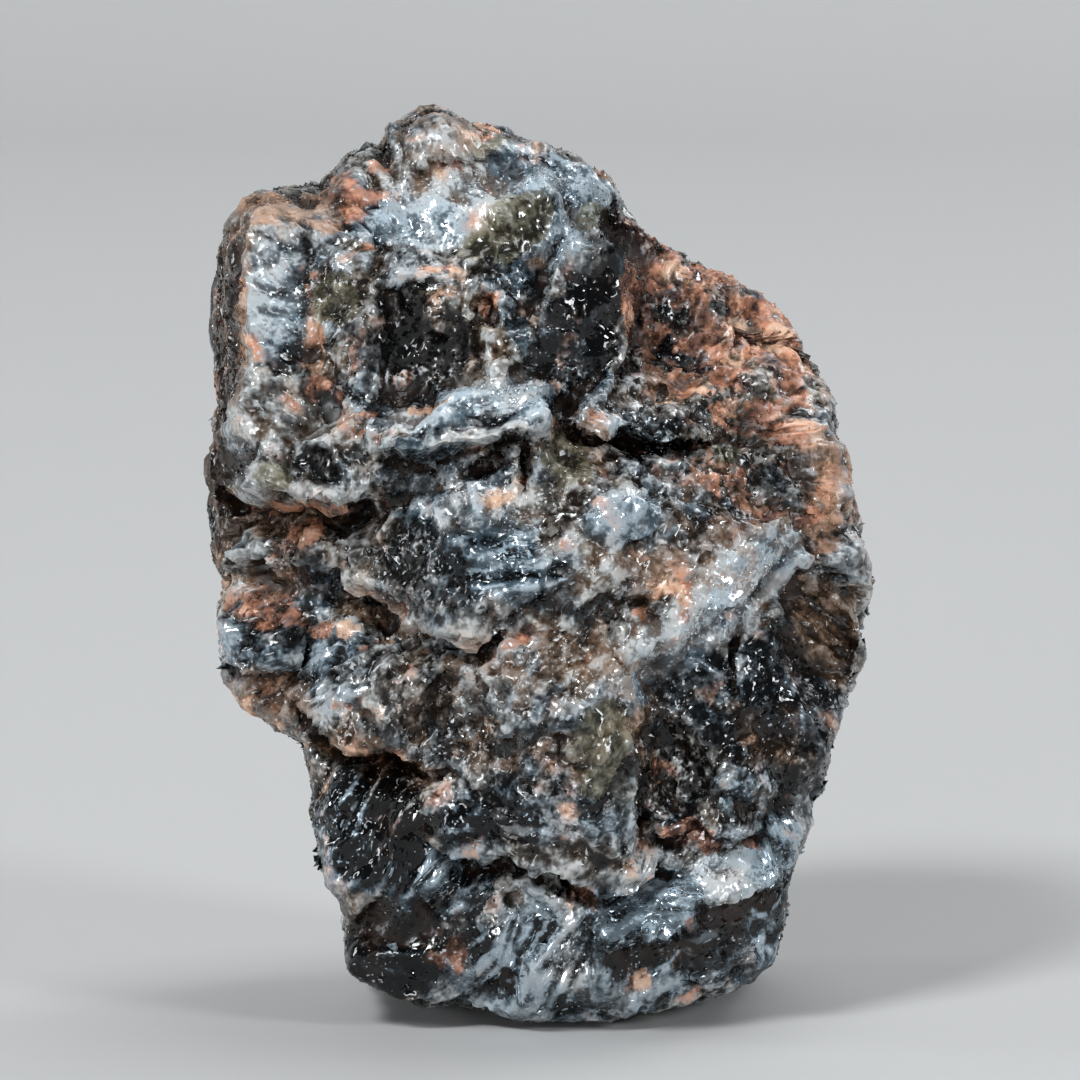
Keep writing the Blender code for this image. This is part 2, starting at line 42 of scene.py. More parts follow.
# The stone is worked out in a face frame, in millimetres from its heart: u to the right of the
# show face, v up the face, w out of it. Every place below is in that frame.
stone = {
    "lean": 7.0,                # degrees that the face tips back
    "heartHeight": 5.5,
    "frontDepth": 3.6,
    "backDepth": 3.2,
    "girth": (4.3, 6.0, 3.6),
    "net": (140, 188, 66),      # squares of the net across, up and through the stone
    "pebblePower": 2.6,
    "footPower": 1.3,
    "footFrom": (-0.35, -0.85),
    "arrisPower": 22.0,
    "softArc": 13.0,            # degrees
    "rimMargin": 1.04,
    "outlineFrom": (0.78, 0.98),    # where the pebble takes up the outline
    "outlinePower": 60.0,
    "roughMargin": 0.03,
    "sharpAngle": 38.0,         # degrees
    "ledgeEdge": 0.05,
    "ledgeEnds": 0.22,          # the share of a ledge that fades out at each end
    "lipReach": 0.55,
    # height and size of each layer of noise, or slope and size of each layer of chips
    "swell": [(0.16, 2.4)],
    "wander": [(0.16, 1.0), (0.07, 0.33), (0.03, 0.13)],
    "chips": [(0.17, 1.5), (0.15, 0.72)],
    "fineChips": [(0.22, 0.4), (0.2, 0.19)],
    "grit": [(0.035, 0.42)],
    "fineGrit": [(0.016, 0.15)],
    "drift": [(0.32, 1.3), (0.16, 0.65), (0.096, 0.3)],
    "blotch": [(0.28, 0.4), (0.16, 0.2), (0.08, 0.1)],
    "striaWander": [(0.22, 0.8), (0.04, 0.3)],
    "wild": [(1.0, 1.2), (0.5, 0.4)],
    "ragged": (0.05, 0.16),     # how ragged the patches' edges are
    "chipBorder": 0.22,
    "pores": (0.1, 0.42),       # depth, and how far apart
    "poreRadius": (0.18, 0.34),     # the least and the spread above it
    "poreShare": 0.22,
    "grooves": (0.09, 1.6, 0.2),    # striae's depth, length and width
    # how much smoother dark and striated faces are, and how much of the striae rust hides
    "darkSmooth": 0.45,
    "striaSmooth": 0.55,
    "rustHides": 0.85,
    "patchSize": 0.85,          # across a patch of one kind of grain
    "flakeSize": 0.24,          # across one flat crystal face
    "patchBend": (0.2, 0.45),   # how far and how closely noise bends patches' borders
    "flakeBend": (0.04, 0.12),
    # how squarely a place has to face a side: where the side's own features start and are full
    "dressFacing": (0.04, 0.3),
    "patchFacing": (-0.08, 0.1),
    "striaFacing": {"front": (0.1, 0.3), "right": (0.6, 0.8), "back": (0.6, 0.8),
                    "left": (0.6, 0.8)},
    "farAndClose": (16, 3),     # how many neighbours away a place is compared with
    "hollowDepth": 0.1,         # mm under or over its neighbours that make a full hollow,
    "crestHeight": 0.07,        # crest
    "nickDepth": 0.022,         # or nick
}

# outline of the face, clockwise from the crown (u, v)
outline = [
    (-1.4, 6.15), (-0.9, 6.0), (-0.35, 5.8), (0.2, 5.6), (0.6, 5.45), (0.95, 5.15),
    (1.15, 4.8), (1.4, 4.5), (2.0, 4.05), (2.65, 3.85), (3.1, 3.55), (3.35, 3.25),
    (3.45, 2.9), (3.75, 2.55), (3.9, 2.25), (3.85, 1.95), (4.15, 1.05), (4.25, 0.45),
    (4.3, -0.85), (4.05, -1.6), (3.85, -2.1), (3.8, -2.45), (3.45, -3.5), (3.3, -3.85),
    (3.3, -4.3), (3.2, -4.7), (3.05, -5.05), (2.75, -5.3), (2.1, -5.5), (1.35, -5.65),
    (0.5, -5.75), (-0.15, -5.85), (-0.65, -5.65), (-1.0, -5.55), (-1.4, -5.6),
    (-1.85, -5.45), (-2.45, -5.05), (-2.55, -4.2), (-2.75, -4.05),
    (-2.95, -3.2), (-2.95, -2.8), (-3.05, -2.2), (-3.5, -1.9), (-3.9, -1.65),
    (-4.1, -1.4), (-4.15, -0.9), (-4.1, -0.3), (-4.3, 1.5), (-4.25, 2.25),
    (-4.3, 3.45), (-4.15, 4.6), (-3.85, 4.9), (-3.6, 5.05), (-2.85, 5.1), (-2.65, 5.4),
    (-2.25, 5.7), (-2.05, 5.55), (-1.95, 5.9), (-1.7, 6.1),
]

# large flats: which way each faces, and its distance from the heart
flats = [
    ((0.1, 0.55, 0.83), 4.75),     # forehead, sloping up and back
    ((0.52, 0.46, 0.72), 3.8),     # right shoulder
    ((0.5, -0.22, 0.84), 3.95),    # lower right
    ((-0.5, -0.12, 0.86), 3.45),   # lower left
    ((-0.985, 0.0, 0.17), 4.3),   # left flank, a split face
    ((0.99, -0.05, -0.12), 4.45),   # right flank
    ((0.12, 0.1, -0.99), 3.15),    # back
    ((-0.66, 0.25, -0.71), 3.75),   # back left
    ((0.7, -0.1, -0.71), 3.9),   # back right
    ((0.05, 0.72, -0.69), 4.75),    # back of the crown
    ((-0.3, -0.55, -0.78), 4.3),  # back of the foot
]

# each side seen square on: its axes across, up and out
sides = {
    "front": ((1, 0, 0), (0, 1, 0), (0, 0, 1)),
    "right": ((0, 0, -1), (0, 1, 0), (1, 0, 0)),
    "back": ((-1, 0, 0), (0, 1, 0), (0, 0, -1)),
    "left": ((0, 0, 1), (0, 1, 0), (-1, 0, 0)),
}

# Every feature's row starts with its centre (across, up), half size and turn in degrees.

# crystal faces: and height out of the heart, slopes, softness
facets = {
    "front": [
        (-1.46, 2.99, 0.72, 0.66, 4, 2.95, 0.05, 0.0, 0.12),  # left dark window
        (0.5, 3.2, 0.6, 1.05, -24, 2.85, -0.32, 0.16, 0.14),  # right dark window
        (-0.42, 4.45, 0.8, 0.42, 18, 2.68, 0.02, -0.62, 0.16),  # olive forehead
        (-2.9, 3.3, 0.95, 1.25, 0, 3.12, 0.08, -0.08, 0.14),  # left shoulder
        (-2.8, 1.72, 0.95, 0.62, 0, 3.25, 0.12, -0.12, 0.18),  # left slab
        (-0.88, 2.04, 1.15, 0.36, 5, 3.74, 0.0, -0.55, 0.22),  # bright ledge slab
        (2.57, -2.53, 1.15, 0.95, -10, 2.82, -0.46, 0.1, 0.18),  # lower right glassy
        (-1.98, -3.31, 0.8, 0.9, -16, 2.72, 0.36, 0.0, 0.18),  # lower left block
        (1.4, -4.2, 0.74, 0.38, 2, 3.02, -0.1, -0.34, 0.16),  # striated foot block
        (2.55, -3.75, 0.44, 0.42, 10, 2.62, -0.3, -0.36, 0.18),  # pale foot patch
        (-1.85, -5.05, 0.66, 0.42, -14, 2.42, 0.26, 0.3, 0.2),  # smooth foot corner
    ],
    "right": [
        (-0.6, 1.3, 1.1, 1.1, 12, 4.02, -0.08, -0.1, 0.2),
        (0.9, -1.9, 0.95, 0.95, -20, 3.72, -0.22, 0.16, 0.18),
        (0.4, 3.35, 0.9, 0.55, -8, 3.35, -0.1, -0.55, 0.16),
        (-0.7, -3.9, 0.8, 0.7, 6, 3.1, 0.12, 0.22, 0.18),
    ],
    "back": [
        (-1.6, 2.6, 1.25, 1.0, 14, 2.95, 0.1, -0.12, 0.2),
        (1.5, 1.1, 1.05, 1.3, -10, 2.9, -0.22, 0.04, 0.18),
        (-0.7, -0.7, 1.3, 0.7, 6, 3.22, 0.02, -0.28, 0.2),
        (1.2, -2.9, 1.0, 0.9, 18, 2.72, -0.26, 0.14, 0.18),
        (-1.3, -3.4, 0.9, 0.8, -12, 2.85, 0.22, 0.1, 0.18),
    ],
    "left": [
        (0.4, 2.9, 1.3, 1.5, 0, 4.16, -0.16, 0.0, 0.16),  # split flank
        (-1.3, 1.2, 0.85, 1.1, 8, 3.9, 0.2, 0.02, 0.18),
        (0.3, -2.9, 0.95, 0.8, -6, 3.0, -0.16, 0.12, 0.18),
        (-0.8, -4.3, 0.8, 0.6, 10, 2.5, 0.2, 0.16, 0.18),
    ],
}

# ledges: line with its high side on the left, lip, depth, reach and overhang
ledges = {
    "front": [
        # under the left slab
        ([(-3.9, 1.3), (-3.6, 1.0), (-3.1, 0.92), (-2.55, 1.0), (-2.1, 1.25)], 0.18, 0.85, 0.64, 0.24),
        # under the middle bulge
        ([(-2.55, 0.25), (-2.35, -0.2), (-1.8, -0.45), (-1.25, -0.65), (-0.9, -0.75), (-0.3, -0.6)],
         0.18, 0.62, 0.56, 0.22),
        # under the left lip
        ([(-4.1, -0.85), (-3.8, -1.05), (-3.4, -1.2), (-3.1, -1.15), (-2.85, -0.85)],
         0.12, 0.32, 0.45, 0.12),
        # under the lower left knob
        ([(-3.15, -1.55), (-2.7, -1.95), (-2.3, -2.08), (-1.8, -2.05), (-1.4, -2.2), (-1.05, -2.45)],
         0.18, 0.66, 0.7, 0.2),
        # under the belly, above the foot
        ([(-1.45, -3.15), (-1.15, -3.38), (-0.9, -3.5), (-0.25, -3.48), (0.3, -3.65), (0.8, -3.8),
          (1.35, -3.72), (1.75, -3.45)], 0.15, 0.5, 0.5, 0.22),
        # foot of the bright ledge slab
        ([(-1.9, 1.55), (-1.25, 1.45), (-0.6, 1.68), (0.2, 1.85)], 0.04, 0.18, 0.3, 0.05),
        # dark band on the right
        ([(0.15, 2.05), (0.6, 1.98), (0.88, 1.78), (1.25, 1.94), (1.62, 1.76), (2.05, 1.88), (2.4, 1.6)],
         0.08, 0.58, 0.6, 0.12),
        # the crown's right edge, with the shoulder set back behind it
        ([(0.95, 2.25), (1.2, 3.2), (1.15, 4.05), (0.75, 4.9)], 0.05, 0.8, 1.7, 0.0),
        # diagonal ridge on the right
        ([(1.0, -1.55), (2.0, -0.85), (2.7, -0.3), (3.4, 0.4)], 0.15, 0.52, 1.05, 0.0),
        # the belly's right edge
        ([(1.22, -3.6), (1.3, -2.85), (1.3, -2.15), (1.42, -1.6)], 0.08, 0.46, 0.85, 0.0),
        # rusty break above the pale patch
        ([(1.45, -3.35), (2.0, -3.12), (2.7, -3.32)], 0.08, 0.28, 0.35, 0.08),
        # under the crown's rough top
        ([(-1.9, 5.2), (-1.15, 5.32), (-0.25, 5.35), (0.7, 5.1)], 0.1, 0.16, 0.35, 0.04),
    ],
    "right": [
        ([(-2.3, 0.55), (-1.7, -0.1), (-0.9, -0.2), (-0.5, -0.75), (0.3, -0.6)], 0.12, 0.34, 0.9, 0.08),
        ([(0.4, 0.6), (1.0, 0.15), (1.9, 0.4)], 0.08, 0.26, 0.6, 0.06),
        ([(-1.8, -2.6), (-1.2, -3.0), (-0.5, -2.8)], 0.12, 0.36, 0.6, 0.1),
        ([(0.1, -3.3), (0.8, -2.95), (1.6, -3.2)], 0.08, 0.28, 0.5, 0.06),
        ([(-1.3, 3.3), (-0.8, 2.8), (0.1, 2.9), (0.5, 2.4)], 0.08, 0.28, 0.7, 0.06),
    ],
    "back": [
        ([(-3.0, 1.5), (-2.4, 1.0), (-1.6, 1.15), (-1.1, 0.55), (-0.2, 0.6)], 0.14, 0.36, 0.8, 0.1),
        ([(0.1, -1.2), (0.6, -1.65), (1.3, -1.5), (1.7, -2.0), (2.4, -1.8)], 0.12, 0.4, 0.7, 0.12),
        ([(-2.3, -2.9), (-1.7, -2.35), (-0.9, -2.5), (-0.5, -3.0)], 0.1, 0.34, 0.6, 0.1),
        ([(-0.9, 4.3), (-0.2, 3.75), (0.6, 3.9), (1.1, 3.4)], 0.1, 0.26, 0.7, 0.06),
        ([(0.6, 0.2), (1.3, 0.55), (2.1, 0.2)], 0.08, 0.26, 0.5, 0.06),
    ],
    "left": [
        ([(-2.4, 1.0), (-1.8, 0.35), (-1.0, 0.5), (-0.6, 0.0)], 0.12, 0.36, 0.7, 0.1),
        ([(0.2, 0.9), (0.9, 0.55), (1.5, 0.95), (2.1, 0.9)], 0.12, 0.32, 0.6, 0.1),
        ([(-1.6, -1.6), (-0.9, -2.05), (-0.2, -1.75)], 0.12, 0.38, 0.7, 0.1),
        ([(0.5, -1.35), (1.1, -1.8), (1.7, -1.6)], 0.1, 0.3, 0.6, 0.08),
    ],
}

# lumps and pits: and height or depth
lumps = {
    "front": [
        (-1.2, 0.22, 1.35, 0.78, -8, 0.42),  # middle bulge
        (-2.83, 0.28, 0.36, 0.44, 0, 0.38),  # knob beside it
        (-3.5, -0.72, 0.62, 0.38, -15, 0.24),  # left lip
        (-2.15, -1.45, 0.88, 0.62, 10, 0.42),  # lower left knob
        (0.0, -2.25, 1.6, 1.45, 0, 0.36),  # belly
        (-1.3, -2.85, 0.65, 0.45, 20, 0.22),
        (-2.35, 4.88, 0.32, 0.42, 0, 0.26),  # rusty lump on the left shoulder
        (-1.2, 5.65, 0.55, 0.3, 10, 0.22),  # crown top
        (2.1, 3.25, 0.55, 0.42, 20, 0.18),  # right shoulder
        (3.0, 2.6, 0.55, 0.5, -30, 0.18),
        (2.85, 1.3, 0.65, 0.52, 10, 0.18),
        (1.08, 0.82, 0.48, 0.38, 0, 0.2),
        (2.6, -2.55, 0.36, 0.52, 0, 0.2),  # glassy block low on the right
        (-3.38, 1.2, 0.4, 0.26, 0, 0.12),  # lobes under the left slab
        (-2.72, 1.24, 0.28, 0.2, 0, 0.12),
        (-3.36, -1.82, 0.22, 0.17, 0, 0.12),  # chip on the left edge
        (1.5, -0.8, 0.55, 0.48, 30, 0.18),
    ],
    "right": [
        (-1.2, 2.3, 0.7, 0.6, 15, 0.22),
        (0.9, 0.8, 0.8, 0.55, -10, 0.26),
        (-0.9, -1.6, 0.7, 0.6, 0, 0.26),
        (1.0, -4.2, 0.6, 0.5, 10, 0.2),
    ],
    "back": [
        (0.7, 2.6, 0.8, 0.7, 20, 0.26),
        (-1.8, 0.0, 0.7, 0.6, -20, 0.28),
        (1.6, -0.6, 0.75, 0.55, 10, 0.26),
        (0.1, -4.0, 0.8, 0.6, 0, 0.24),
        (-0.3, 4.7, 0.7, 0.5, 0, 0.22),
    ],
    "left": [
        (1.1, -0.6, 0.7, 0.6, 10, 0.24),
        (-0.9, -0.7, 0.8, 0.6, -15, 0.26),
        (-1.1, 3.4, 0.6, 0.6, 0, 0.2),
        (1.1, -3.9, 0.55, 0.45, 20, 0.18),
    ],
}

pits = {
    "front": [
        (-0.7, 3.45, 0.18, 0.28, 0, 0.22),  # rusty pit between the windows
        (-0.66, 1.36, 0.34, 0.15, 20, 0.32),  # slots below the bright slab
        (-0.14, 1.3, 0.1, 0.36, -6, 0.36),
        (0.5, 1.68, 0.28, 0.36, 0, 0.32),
        (1.3, 1.66, 0.42, 0.2, 0, 0.24),  # deepest part of the dark band
        (1.42, 2.38, 0.28, 0.11, -6, 0.2),  # slot above it
        (-3.8, 3.9, 0.1, 0.55, 0, 0.14),  # groove down the left flank
        (3.65, -0.75, 0.5, 0.85, -8, 0.48),  # brown hollow on the right
        (-3.55, -0.15, 0.45, 0.42, 0, 0.42),  # rusty pocket on the left
        (-2.7, 1.45, 0.24, 0.18, 0, 0.1),
        (1.78, -2.45, 0.42, 0.72, 0, 0.34),  # dark recess right of the belly
        (2.62, -1.0, 0.09, 0.55, -8, 0.2),  # crack below the ridge
        (0.5, -3.9, 0.38, 0.18, -8, 0.34),
    ],
    "right": [
        (0.2, 0.3, 0.4, 0.26, 20, 0.3),
        (-0.2, -2.3, 0.36, 0.3, 0, 0.3),
    ],
    "back": [
        (0.2, 1.6, 0.42, 0.3, -15, 0.34),
        (-1.1, -1.7, 0.36, 0.26, 10, 0.32),
        (1.9, 3.0, 0.34, 0.26, 0, 0.28),
    ],
    "left": [
        (0.0, 0.0, 0.36, 0.26, 0, 0.3),
        (0.3, -2.0, 0.36, 0.24, 12, 0.28),
    ],
}

# stains, mineral patches and grain on the show side, with some painted shade and painted highlights among
# them: and strength
patches = {
    "rust": [
        (2.37, 3.1, 1.35, 0.85, -32, 0.8), (1.36, 3.55, 0.32, 1.0, 0, 0.95),
        (2.3, 2.25, 1.1, 0.4, -15, 0.5), (-2.37, 4.88, 0.26, 0.36, 0, 1.0),
        (-2.83, 2.36, 0.27, 0.2, 0, 1.0), (-3.4, -0.45, 0.46, 0.42, 0, 0.8),
        (-2.83, 0.52, 0.3, 0.1, 10, 0.9), (-0.66, 3.5, 0.14, 0.34, 8, 0.8),
        (-1.27, 3.86, 0.24, 0.06, 0, 0.8), (-2.01, 4.22, 0.07, 0.06, 0, 1.0),
        (-2.98, 3.7, 0.06, 0.3, 5, 0.9), (-1.92, 2.21, 0.24, 0.08, 0, 0.8),
        (3.48, 0.76, 0.22, 0.15, 0, 1.0), (4.05, -0.1, 0.12, 0.3, 0, 0.6),
        (2.0, 1.6, 0.3, 0.14, 20, 0.65), (1.66, -0.52, 0.36, 0.45, 0, 0.6),
        (1.98, -3.28, 0.34, 0.2, 0, 0.85), (2.6, -3.4, 0.26, 0.08, -12, 0.75),
        (0.49, -4.03, 0.22, 0.24, 0, 0.65), (-0.94, -4.88, 0.13, 0.4, 0, 0.85),
        (-1.27, -5.0, 0.15, 0.24, 0, 0.7), (1.27, -5.14, 0.22, 0.12, 0, 0.7),
        (1.98, -4.55, 0.08, 0.15, 0, 0.8), (-0.6, 5.65, 0.55, 0.18, 8, 0.6),
        (-3.93, 3.6, 0.12, 1.0, 0, 0.45), (-3.0, 0.88, 0.8, 0.12, 0, 0.6),
        (-2.6, -0.75, 0.35, 0.14, -10, 0.6), (-3.7, -1.6, 0.3, 0.18, 0, 0.5),
        (-1.0, 5.9, 0.7, 0.14, 10, 0.35), (1.75, 3.95, 0.6, 0.3, -35, 0.7),
        (-3.7, 3.05, 0.06, 0.1, 0, 1.0), (2.9, 1.3, 0.95, 0.8, 0, 0.5),
    ],
    "tan": [
        (-3.15, 4.72, 0.8, 0.3, 5, 0.95), (-2.7, 4.6, 0.28, 0.22, 0, 0.8),
        (2.6, 3.3, 0.9, 0.5, -35, 0.6), (3.75, 1.2, 0.5, 0.9, 10, 0.75), (-3.6, -0.05, 0.4, 0.2, 0, 0.7),
        (-0.3, 5.75, 0.7, 0.14, -18, 0.4), (-2.9, 2.0, 0.7, 0.18, 0, 0.4),
        (-1.3, 2.28, 0.5, 0.08, 0, 0.6), (0.85, 5.3, 0.22, 0.18, 0, 0.8), (3.5, 2.6, 0.35, 0.4, 0, 0.4),
        (1.6, 2.8, 0.4, 0.6, 0, 0.7), (-2.95, 3.0, 0.2, 0.5, 0, 0.5),
    ],
    # pale: lighter grain; the broad patch on the diagonal ridge and the thin streak on the bright ledge
    # slab are partly painted highlights
    "pale": [
        (-0.49, 2.32, 0.75, 0.24, 0, 1.7), (-1.4, 2.12, 0.55, 0.2, 0, 1.05),
        (2.5, -3.78, 0.58, 0.36, 0, 2.2), (-3.42, 3.58, 0.34, 0.62, 0, 0.85),
        (-2.57, 4.05, 0.32, 0.16, 0, 0.7), (-2.75, 1.9, 0.8, 0.32, 0, 0.6),
        (2.45, -0.3, 1.2, 0.5, 42, 2.2), (1.4, -1.1, 0.95, 0.46, 28, 1.3),
        (1.12, 0.82, 0.6, 0.34, 0, 0.9), (0.8, 0.2, 1.05, 0.6, 0, 0.5), (-0.1, 5.08, 1.15, 0.3, -6, 1.5),
        (-0.95, 4.9, 0.85, 0.36, 0, 1.2), (-1.4, 4.5, 0.7, 0.3, 0, 1.2), (-0.35, 0.2, 0.6, 0.6, 0, 0.85),
        (-0.75, 0.95, 0.95, 0.35, 0, 0.6), (1.4, -4.2, 0.8, 0.44, 0, 0.9),
        (0.35, 4.35, 0.75, 0.18, 38, 1.0), (-0.23, -4.98, 0.62, 0.48, 0, 0.15),
        (-0.23, 0.42, 0.46, 0.06, 2, 1.0), (-0.1, 0.03, 0.42, 0.09, 6, 1.0),
        (-0.1, 2.03, 0.34, 0.07, 14, 1.0), (0.2, -4.85, 0.17, 0.1, 20, 1.0),
        (-1.27, -3.84, 0.36, 0.3, 30, 0.6), (3.0, -3.0, 0.14, 0.5, 10, 0.6),
        (1.75, 1.45, 0.35, 0.16, 30, 0.6), (0.25, -0.1, 0.25, 0.25, 0, 0.5),
        (-3.4, -1.75, 0.16, 0.14, 0, 0.9), (2.1, 1.15, 0.35, 0.2, 40, 0.6),
        (-0.1, -4.2, 0.3, 0.3, 0, 0.85),
    ],
    # dark: dark glassy faces; the long strips down the left flank and the patch in the groove of the dark
    # band on the right are painted shade
    "dark": [
        (-1.46, 2.95, 0.66, 0.62, 4, 1.0), (0.5, 3.0, 0.56, 0.92, -16, 1.0),
        (0.98, 4.05, 0.42, 0.7, -20, 0.8), (1.3, 1.7, 0.62, 0.2, 10, 0.85),
        (-0.6, 1.3, 0.22, 0.32, -25, 0.9), (1.72, -2.65, 0.44, 0.66, 0, 0.9),
        (3.1, -2.1, 0.7, 1.0, 0, 0.95), (-2.15, -3.15, 0.85, 1.1, -12, 1.3),
        (2.37, -4.75, 0.5, 0.36, 0, 0.35), (-1.85, -4.95, 0.75, 0.6, -14, 1.25),
        (-0.7, -3.08, 0.95, 0.26, 0, 0.6), (-3.2, 2.75, 0.5, 0.24, 0, 0.5),
        (-2.65, 1.35, 0.3, 0.22, 0, 0.6), (-2.85, 0.22, 0.32, 0.35, 0, 0.6),
        (-1.55, 0.2, 0.65, 0.5, 0, 0.45), (2.9, -1.2, 0.6, 0.4, 0, 0.55), (-3.0, -2.8, 0.3, 0.9, 0, 0.7),
        (0.1, -2.7, 0.9, 0.5, 0, 0.35), (-4.12, 0.6, 0.2, 0.9, 0, 0.6), (-4.12, 2.4, 0.26, 2.4, 0, 0.9),
        (-3.5, -0.78, 0.6, 0.24, -15, 0.3), (2.3, -1.8, 0.7, 0.7, 0, 0.45),
        (-0.42, 4.42, 0.65, 0.28, 20, 0.45),
    ],
    "olive": [
        (-0.4, 4.4, 0.78, 0.36, 22, 0.9), (-2.57, 3.45, 0.36, 0.4, 0, 0.9),
        (0.36, 1.5, 0.32, 0.36, 0, 0.8), (0.85, -2.2, 0.4, 0.6, 0, 0.6),
        (-0.6, 5.45, 0.5, 0.12, 10, 0.6), (2.44, 1.63, 0.14, 0.12, 0, 1.0),
        (-3.3, 1.25, 0.35, 0.25, 0, 0.6), (0.75, 4.6, 0.18, 0.18, 0, 0.8),
    ],
    "steel": [
        (0.45, -4.9, 1.7, 0.75, 4, 0.9), (-2.5, -3.25, 0.4, 0.9, -14, 1.1),
        (-3.42, 3.45, 0.42, 0.9, 0, 0.3), (-3.95, -0.9, 0.3, 0.45, 0, 0.9),
        (-0.4, 0.2, 0.8, 0.55, 0, 0.7), (2.55, -0.2, 0.95, 0.34, 42, 0.6),
        (-1.3, -3.85, 0.6, 0.5, 20, 1.0), (1.4, -4.25, 0.9, 0.55, 4, 1.35),
        (3.05, -4.0, 0.42, 1.0, 8, 1.2), (-0.4, 2.25, 0.75, 0.3, 6, 0.7),
        (0.2, 5.05, 1.0, 0.26, -8, 0.7), (0.4, 4.35, 0.9, 0.24, 38, 0.7),
        (-1.6, 4.55, 0.7, 0.35, 0, 0.6), (-2.55, 4.0, 0.4, 0.2, 0, 0.6), (1.1, 0.8, 0.6, 0.36, 0, 0.7),
        (-2.2, 2.35, 0.3, 0.18, 0, 0.7), (0.7, -1.6, 0.9, 0.3, 12, 0.5),
        (0.1, -2.95, 1.1, 0.35, -4, 0.6), (3.3, -1.7, 0.5, 0.35, 0, 0.6), (2.6, -2.6, 0.4, 0.5, 0, 0.6),
        (-2.85, -0.1, 0.35, 0.3, 0, 0.6), (-2.6, -1.3, 0.4, 0.6, 0, 0.5),
    ],
    "frost": [
        (0.6, 2.7, 0.45, 0.5, 0, 0.65), (-1.45, 2.5, 0.7, 0.22, 0, 1.0), (-2.3, -3.0, 0.5, 0.6, 0, 0.3),
        (1.75, -2.5, 0.4, 0.6, 0, 0.8), (2.9, -2.2, 0.6, 0.8, 0, 0.4), (-0.2, -2.2, 1.4, 1.2, 0, 0.5),
        (1.3, 1.75, 0.6, 0.22, 0, 0.7), (-0.25, 0.3, 0.6, 0.5, 0, 0.6), (3.55, -0.75, 0.4, 0.6, 0, 0.4),
        (-1.9, 0.4, 0.8, 0.5, 0, 0.6), (2.6, 1.2, 0.9, 0.8, 0, 0.4), (-1.6, 4.7, 0.9, 0.5, 0, 0.6),
    ],
    "brown": [
        (-3.6, -1.45, 0.8, 0.36, -25, 0.95), (-2.05, -2.3, 0.9, 0.22, -8, 0.9),
        (-1.9, -0.6, 0.6, 0.18, -20, 0.9), (3.7, -0.7, 0.46, 0.7, -8, 1.0),
        (3.0, -2.0, 0.55, 0.5, 0, 0.6), (-3.8, 3.95, 0.12, 0.6, 0, 0.95),
        (-3.2, 0.75, 0.8, 0.25, 0, 0.9), (-3.0, -0.1, 0.5, 0.2, -20, 0.7), (0.0, -1.6, 1.8, 0.9, 0, 0.5),
        (2.2, 0.3, 1.4, 0.7, 0, 0.6), (0.55, 1.75, 0.45, 0.35, 0, 0.7), (-4.1, 2.3, 0.3, 2.6, 0, 1.4),
        (-0.9, 5.75, 1.1, 0.32, 10, 0.5), (2.6, -2.9, 0.6, 0.25, 0, 0.4),
    ],
}

# how strong each kind gets round the sides and the back, where slow noise places it
elsewhere = {"rust": 0.75, "tan": 0.6, "pale": 0.6, "dark": 0.85, "olive": 0.6, "steel": 0.9,
             "frost": 0.7, "brown": 0.8}

# faces with fine parallel striae: and which way the striae run in degrees, strength
striated = {
    "front": [
        (-3.41, 3.35, 0.5, 1.05, 0, -8, 0.3), (-4.08, 2.6, 0.26, 2.1, 0, 88, 0.6),
        (1.4, -4.2, 0.78, 0.46, 4, 10, 1.0), (-1.98, -3.25, 0.75, 0.9, -12, 58, 0.9),
        (-1.15, -3.95, 0.5, 0.42, 0, 42, 0.9), (3.05, -4.2, 0.34, 0.75, 0, 52, 0.9),
        (-0.35, 2.2, 0.62, 0.26, 8, 17, 0.65), (-0.3, 0.2, 0.6, 0.55, 0, 4, 0.8),
        (2.75, -0.05, 0.7, 0.26, 42, 42, 0.45), (0.4, 4.4, 0.9, 0.3, 38, 38, 0.45),
        (0.1, 5.05, 1.0, 0.24, -6, 4, 0.4), (0.0, -3.2, 1.15, 0.3, -6, -14, 0.6),
        (-0.2, -4.95, 0.75, 0.55, 0, 62, 0.9), (-3.6, -1.1, 0.6, 0.16, -18, -18, 0.6),
        (2.2, -4.85, 0.8, 0.4, 8, 20, 0.6), (-1.85, -4.95, 0.6, 0.45, -14, -20, 0.5),
        (-3.9, -1.6, 0.3, 0.2, -40, -40, 0.5), (1.45, 5.0, 0.4, 0.5, -40, -50, 0.5),
    ],
    "right": [
        (-0.5, 1.3, 1.2, 1.1, 12, 18, 0.7), (0.9, -1.9, 1.0, 0.9, -20, -48, 0.8),
        (-0.7, -3.9, 0.9, 0.7, 6, 30, 0.7), (0.4, 3.35, 0.9, 0.5, -8, -10, 0.6),
    ],
    "back": [
        (-1.6, 2.6, 1.2, 0.9, 14, 34, 0.8), (1.5, 1.1, 1.0, 1.2, -10, -62, 0.7),
        (1.2, -2.9, 1.0, 0.9, 18, 12, 0.8), (-1.3, -3.4, 0.9, 0.8, -12, 72, 0.6),
    ],
    "left": [
        (0.4, 2.4, 1.5, 2.2, 0, 88, 0.6), (-1.3, 1.2, 0.8, 1.1, 8, 80, 0.6),
        (0.3, -2.9, 1.0, 0.8, -6, -30, 0.7),
    ],
}


# 0 below low, 1 above high, easing between
def smoothStep(low, high, value):
    share = np.clip((value - low) / (high - low), 0.0, 1.0)
    return share * share * (3.0 - 2.0 * share)


# each row brought to length 1
def unit(ways):
    return ways / np.sqrt((ways ** 2).sum(axis=1))[:, None]


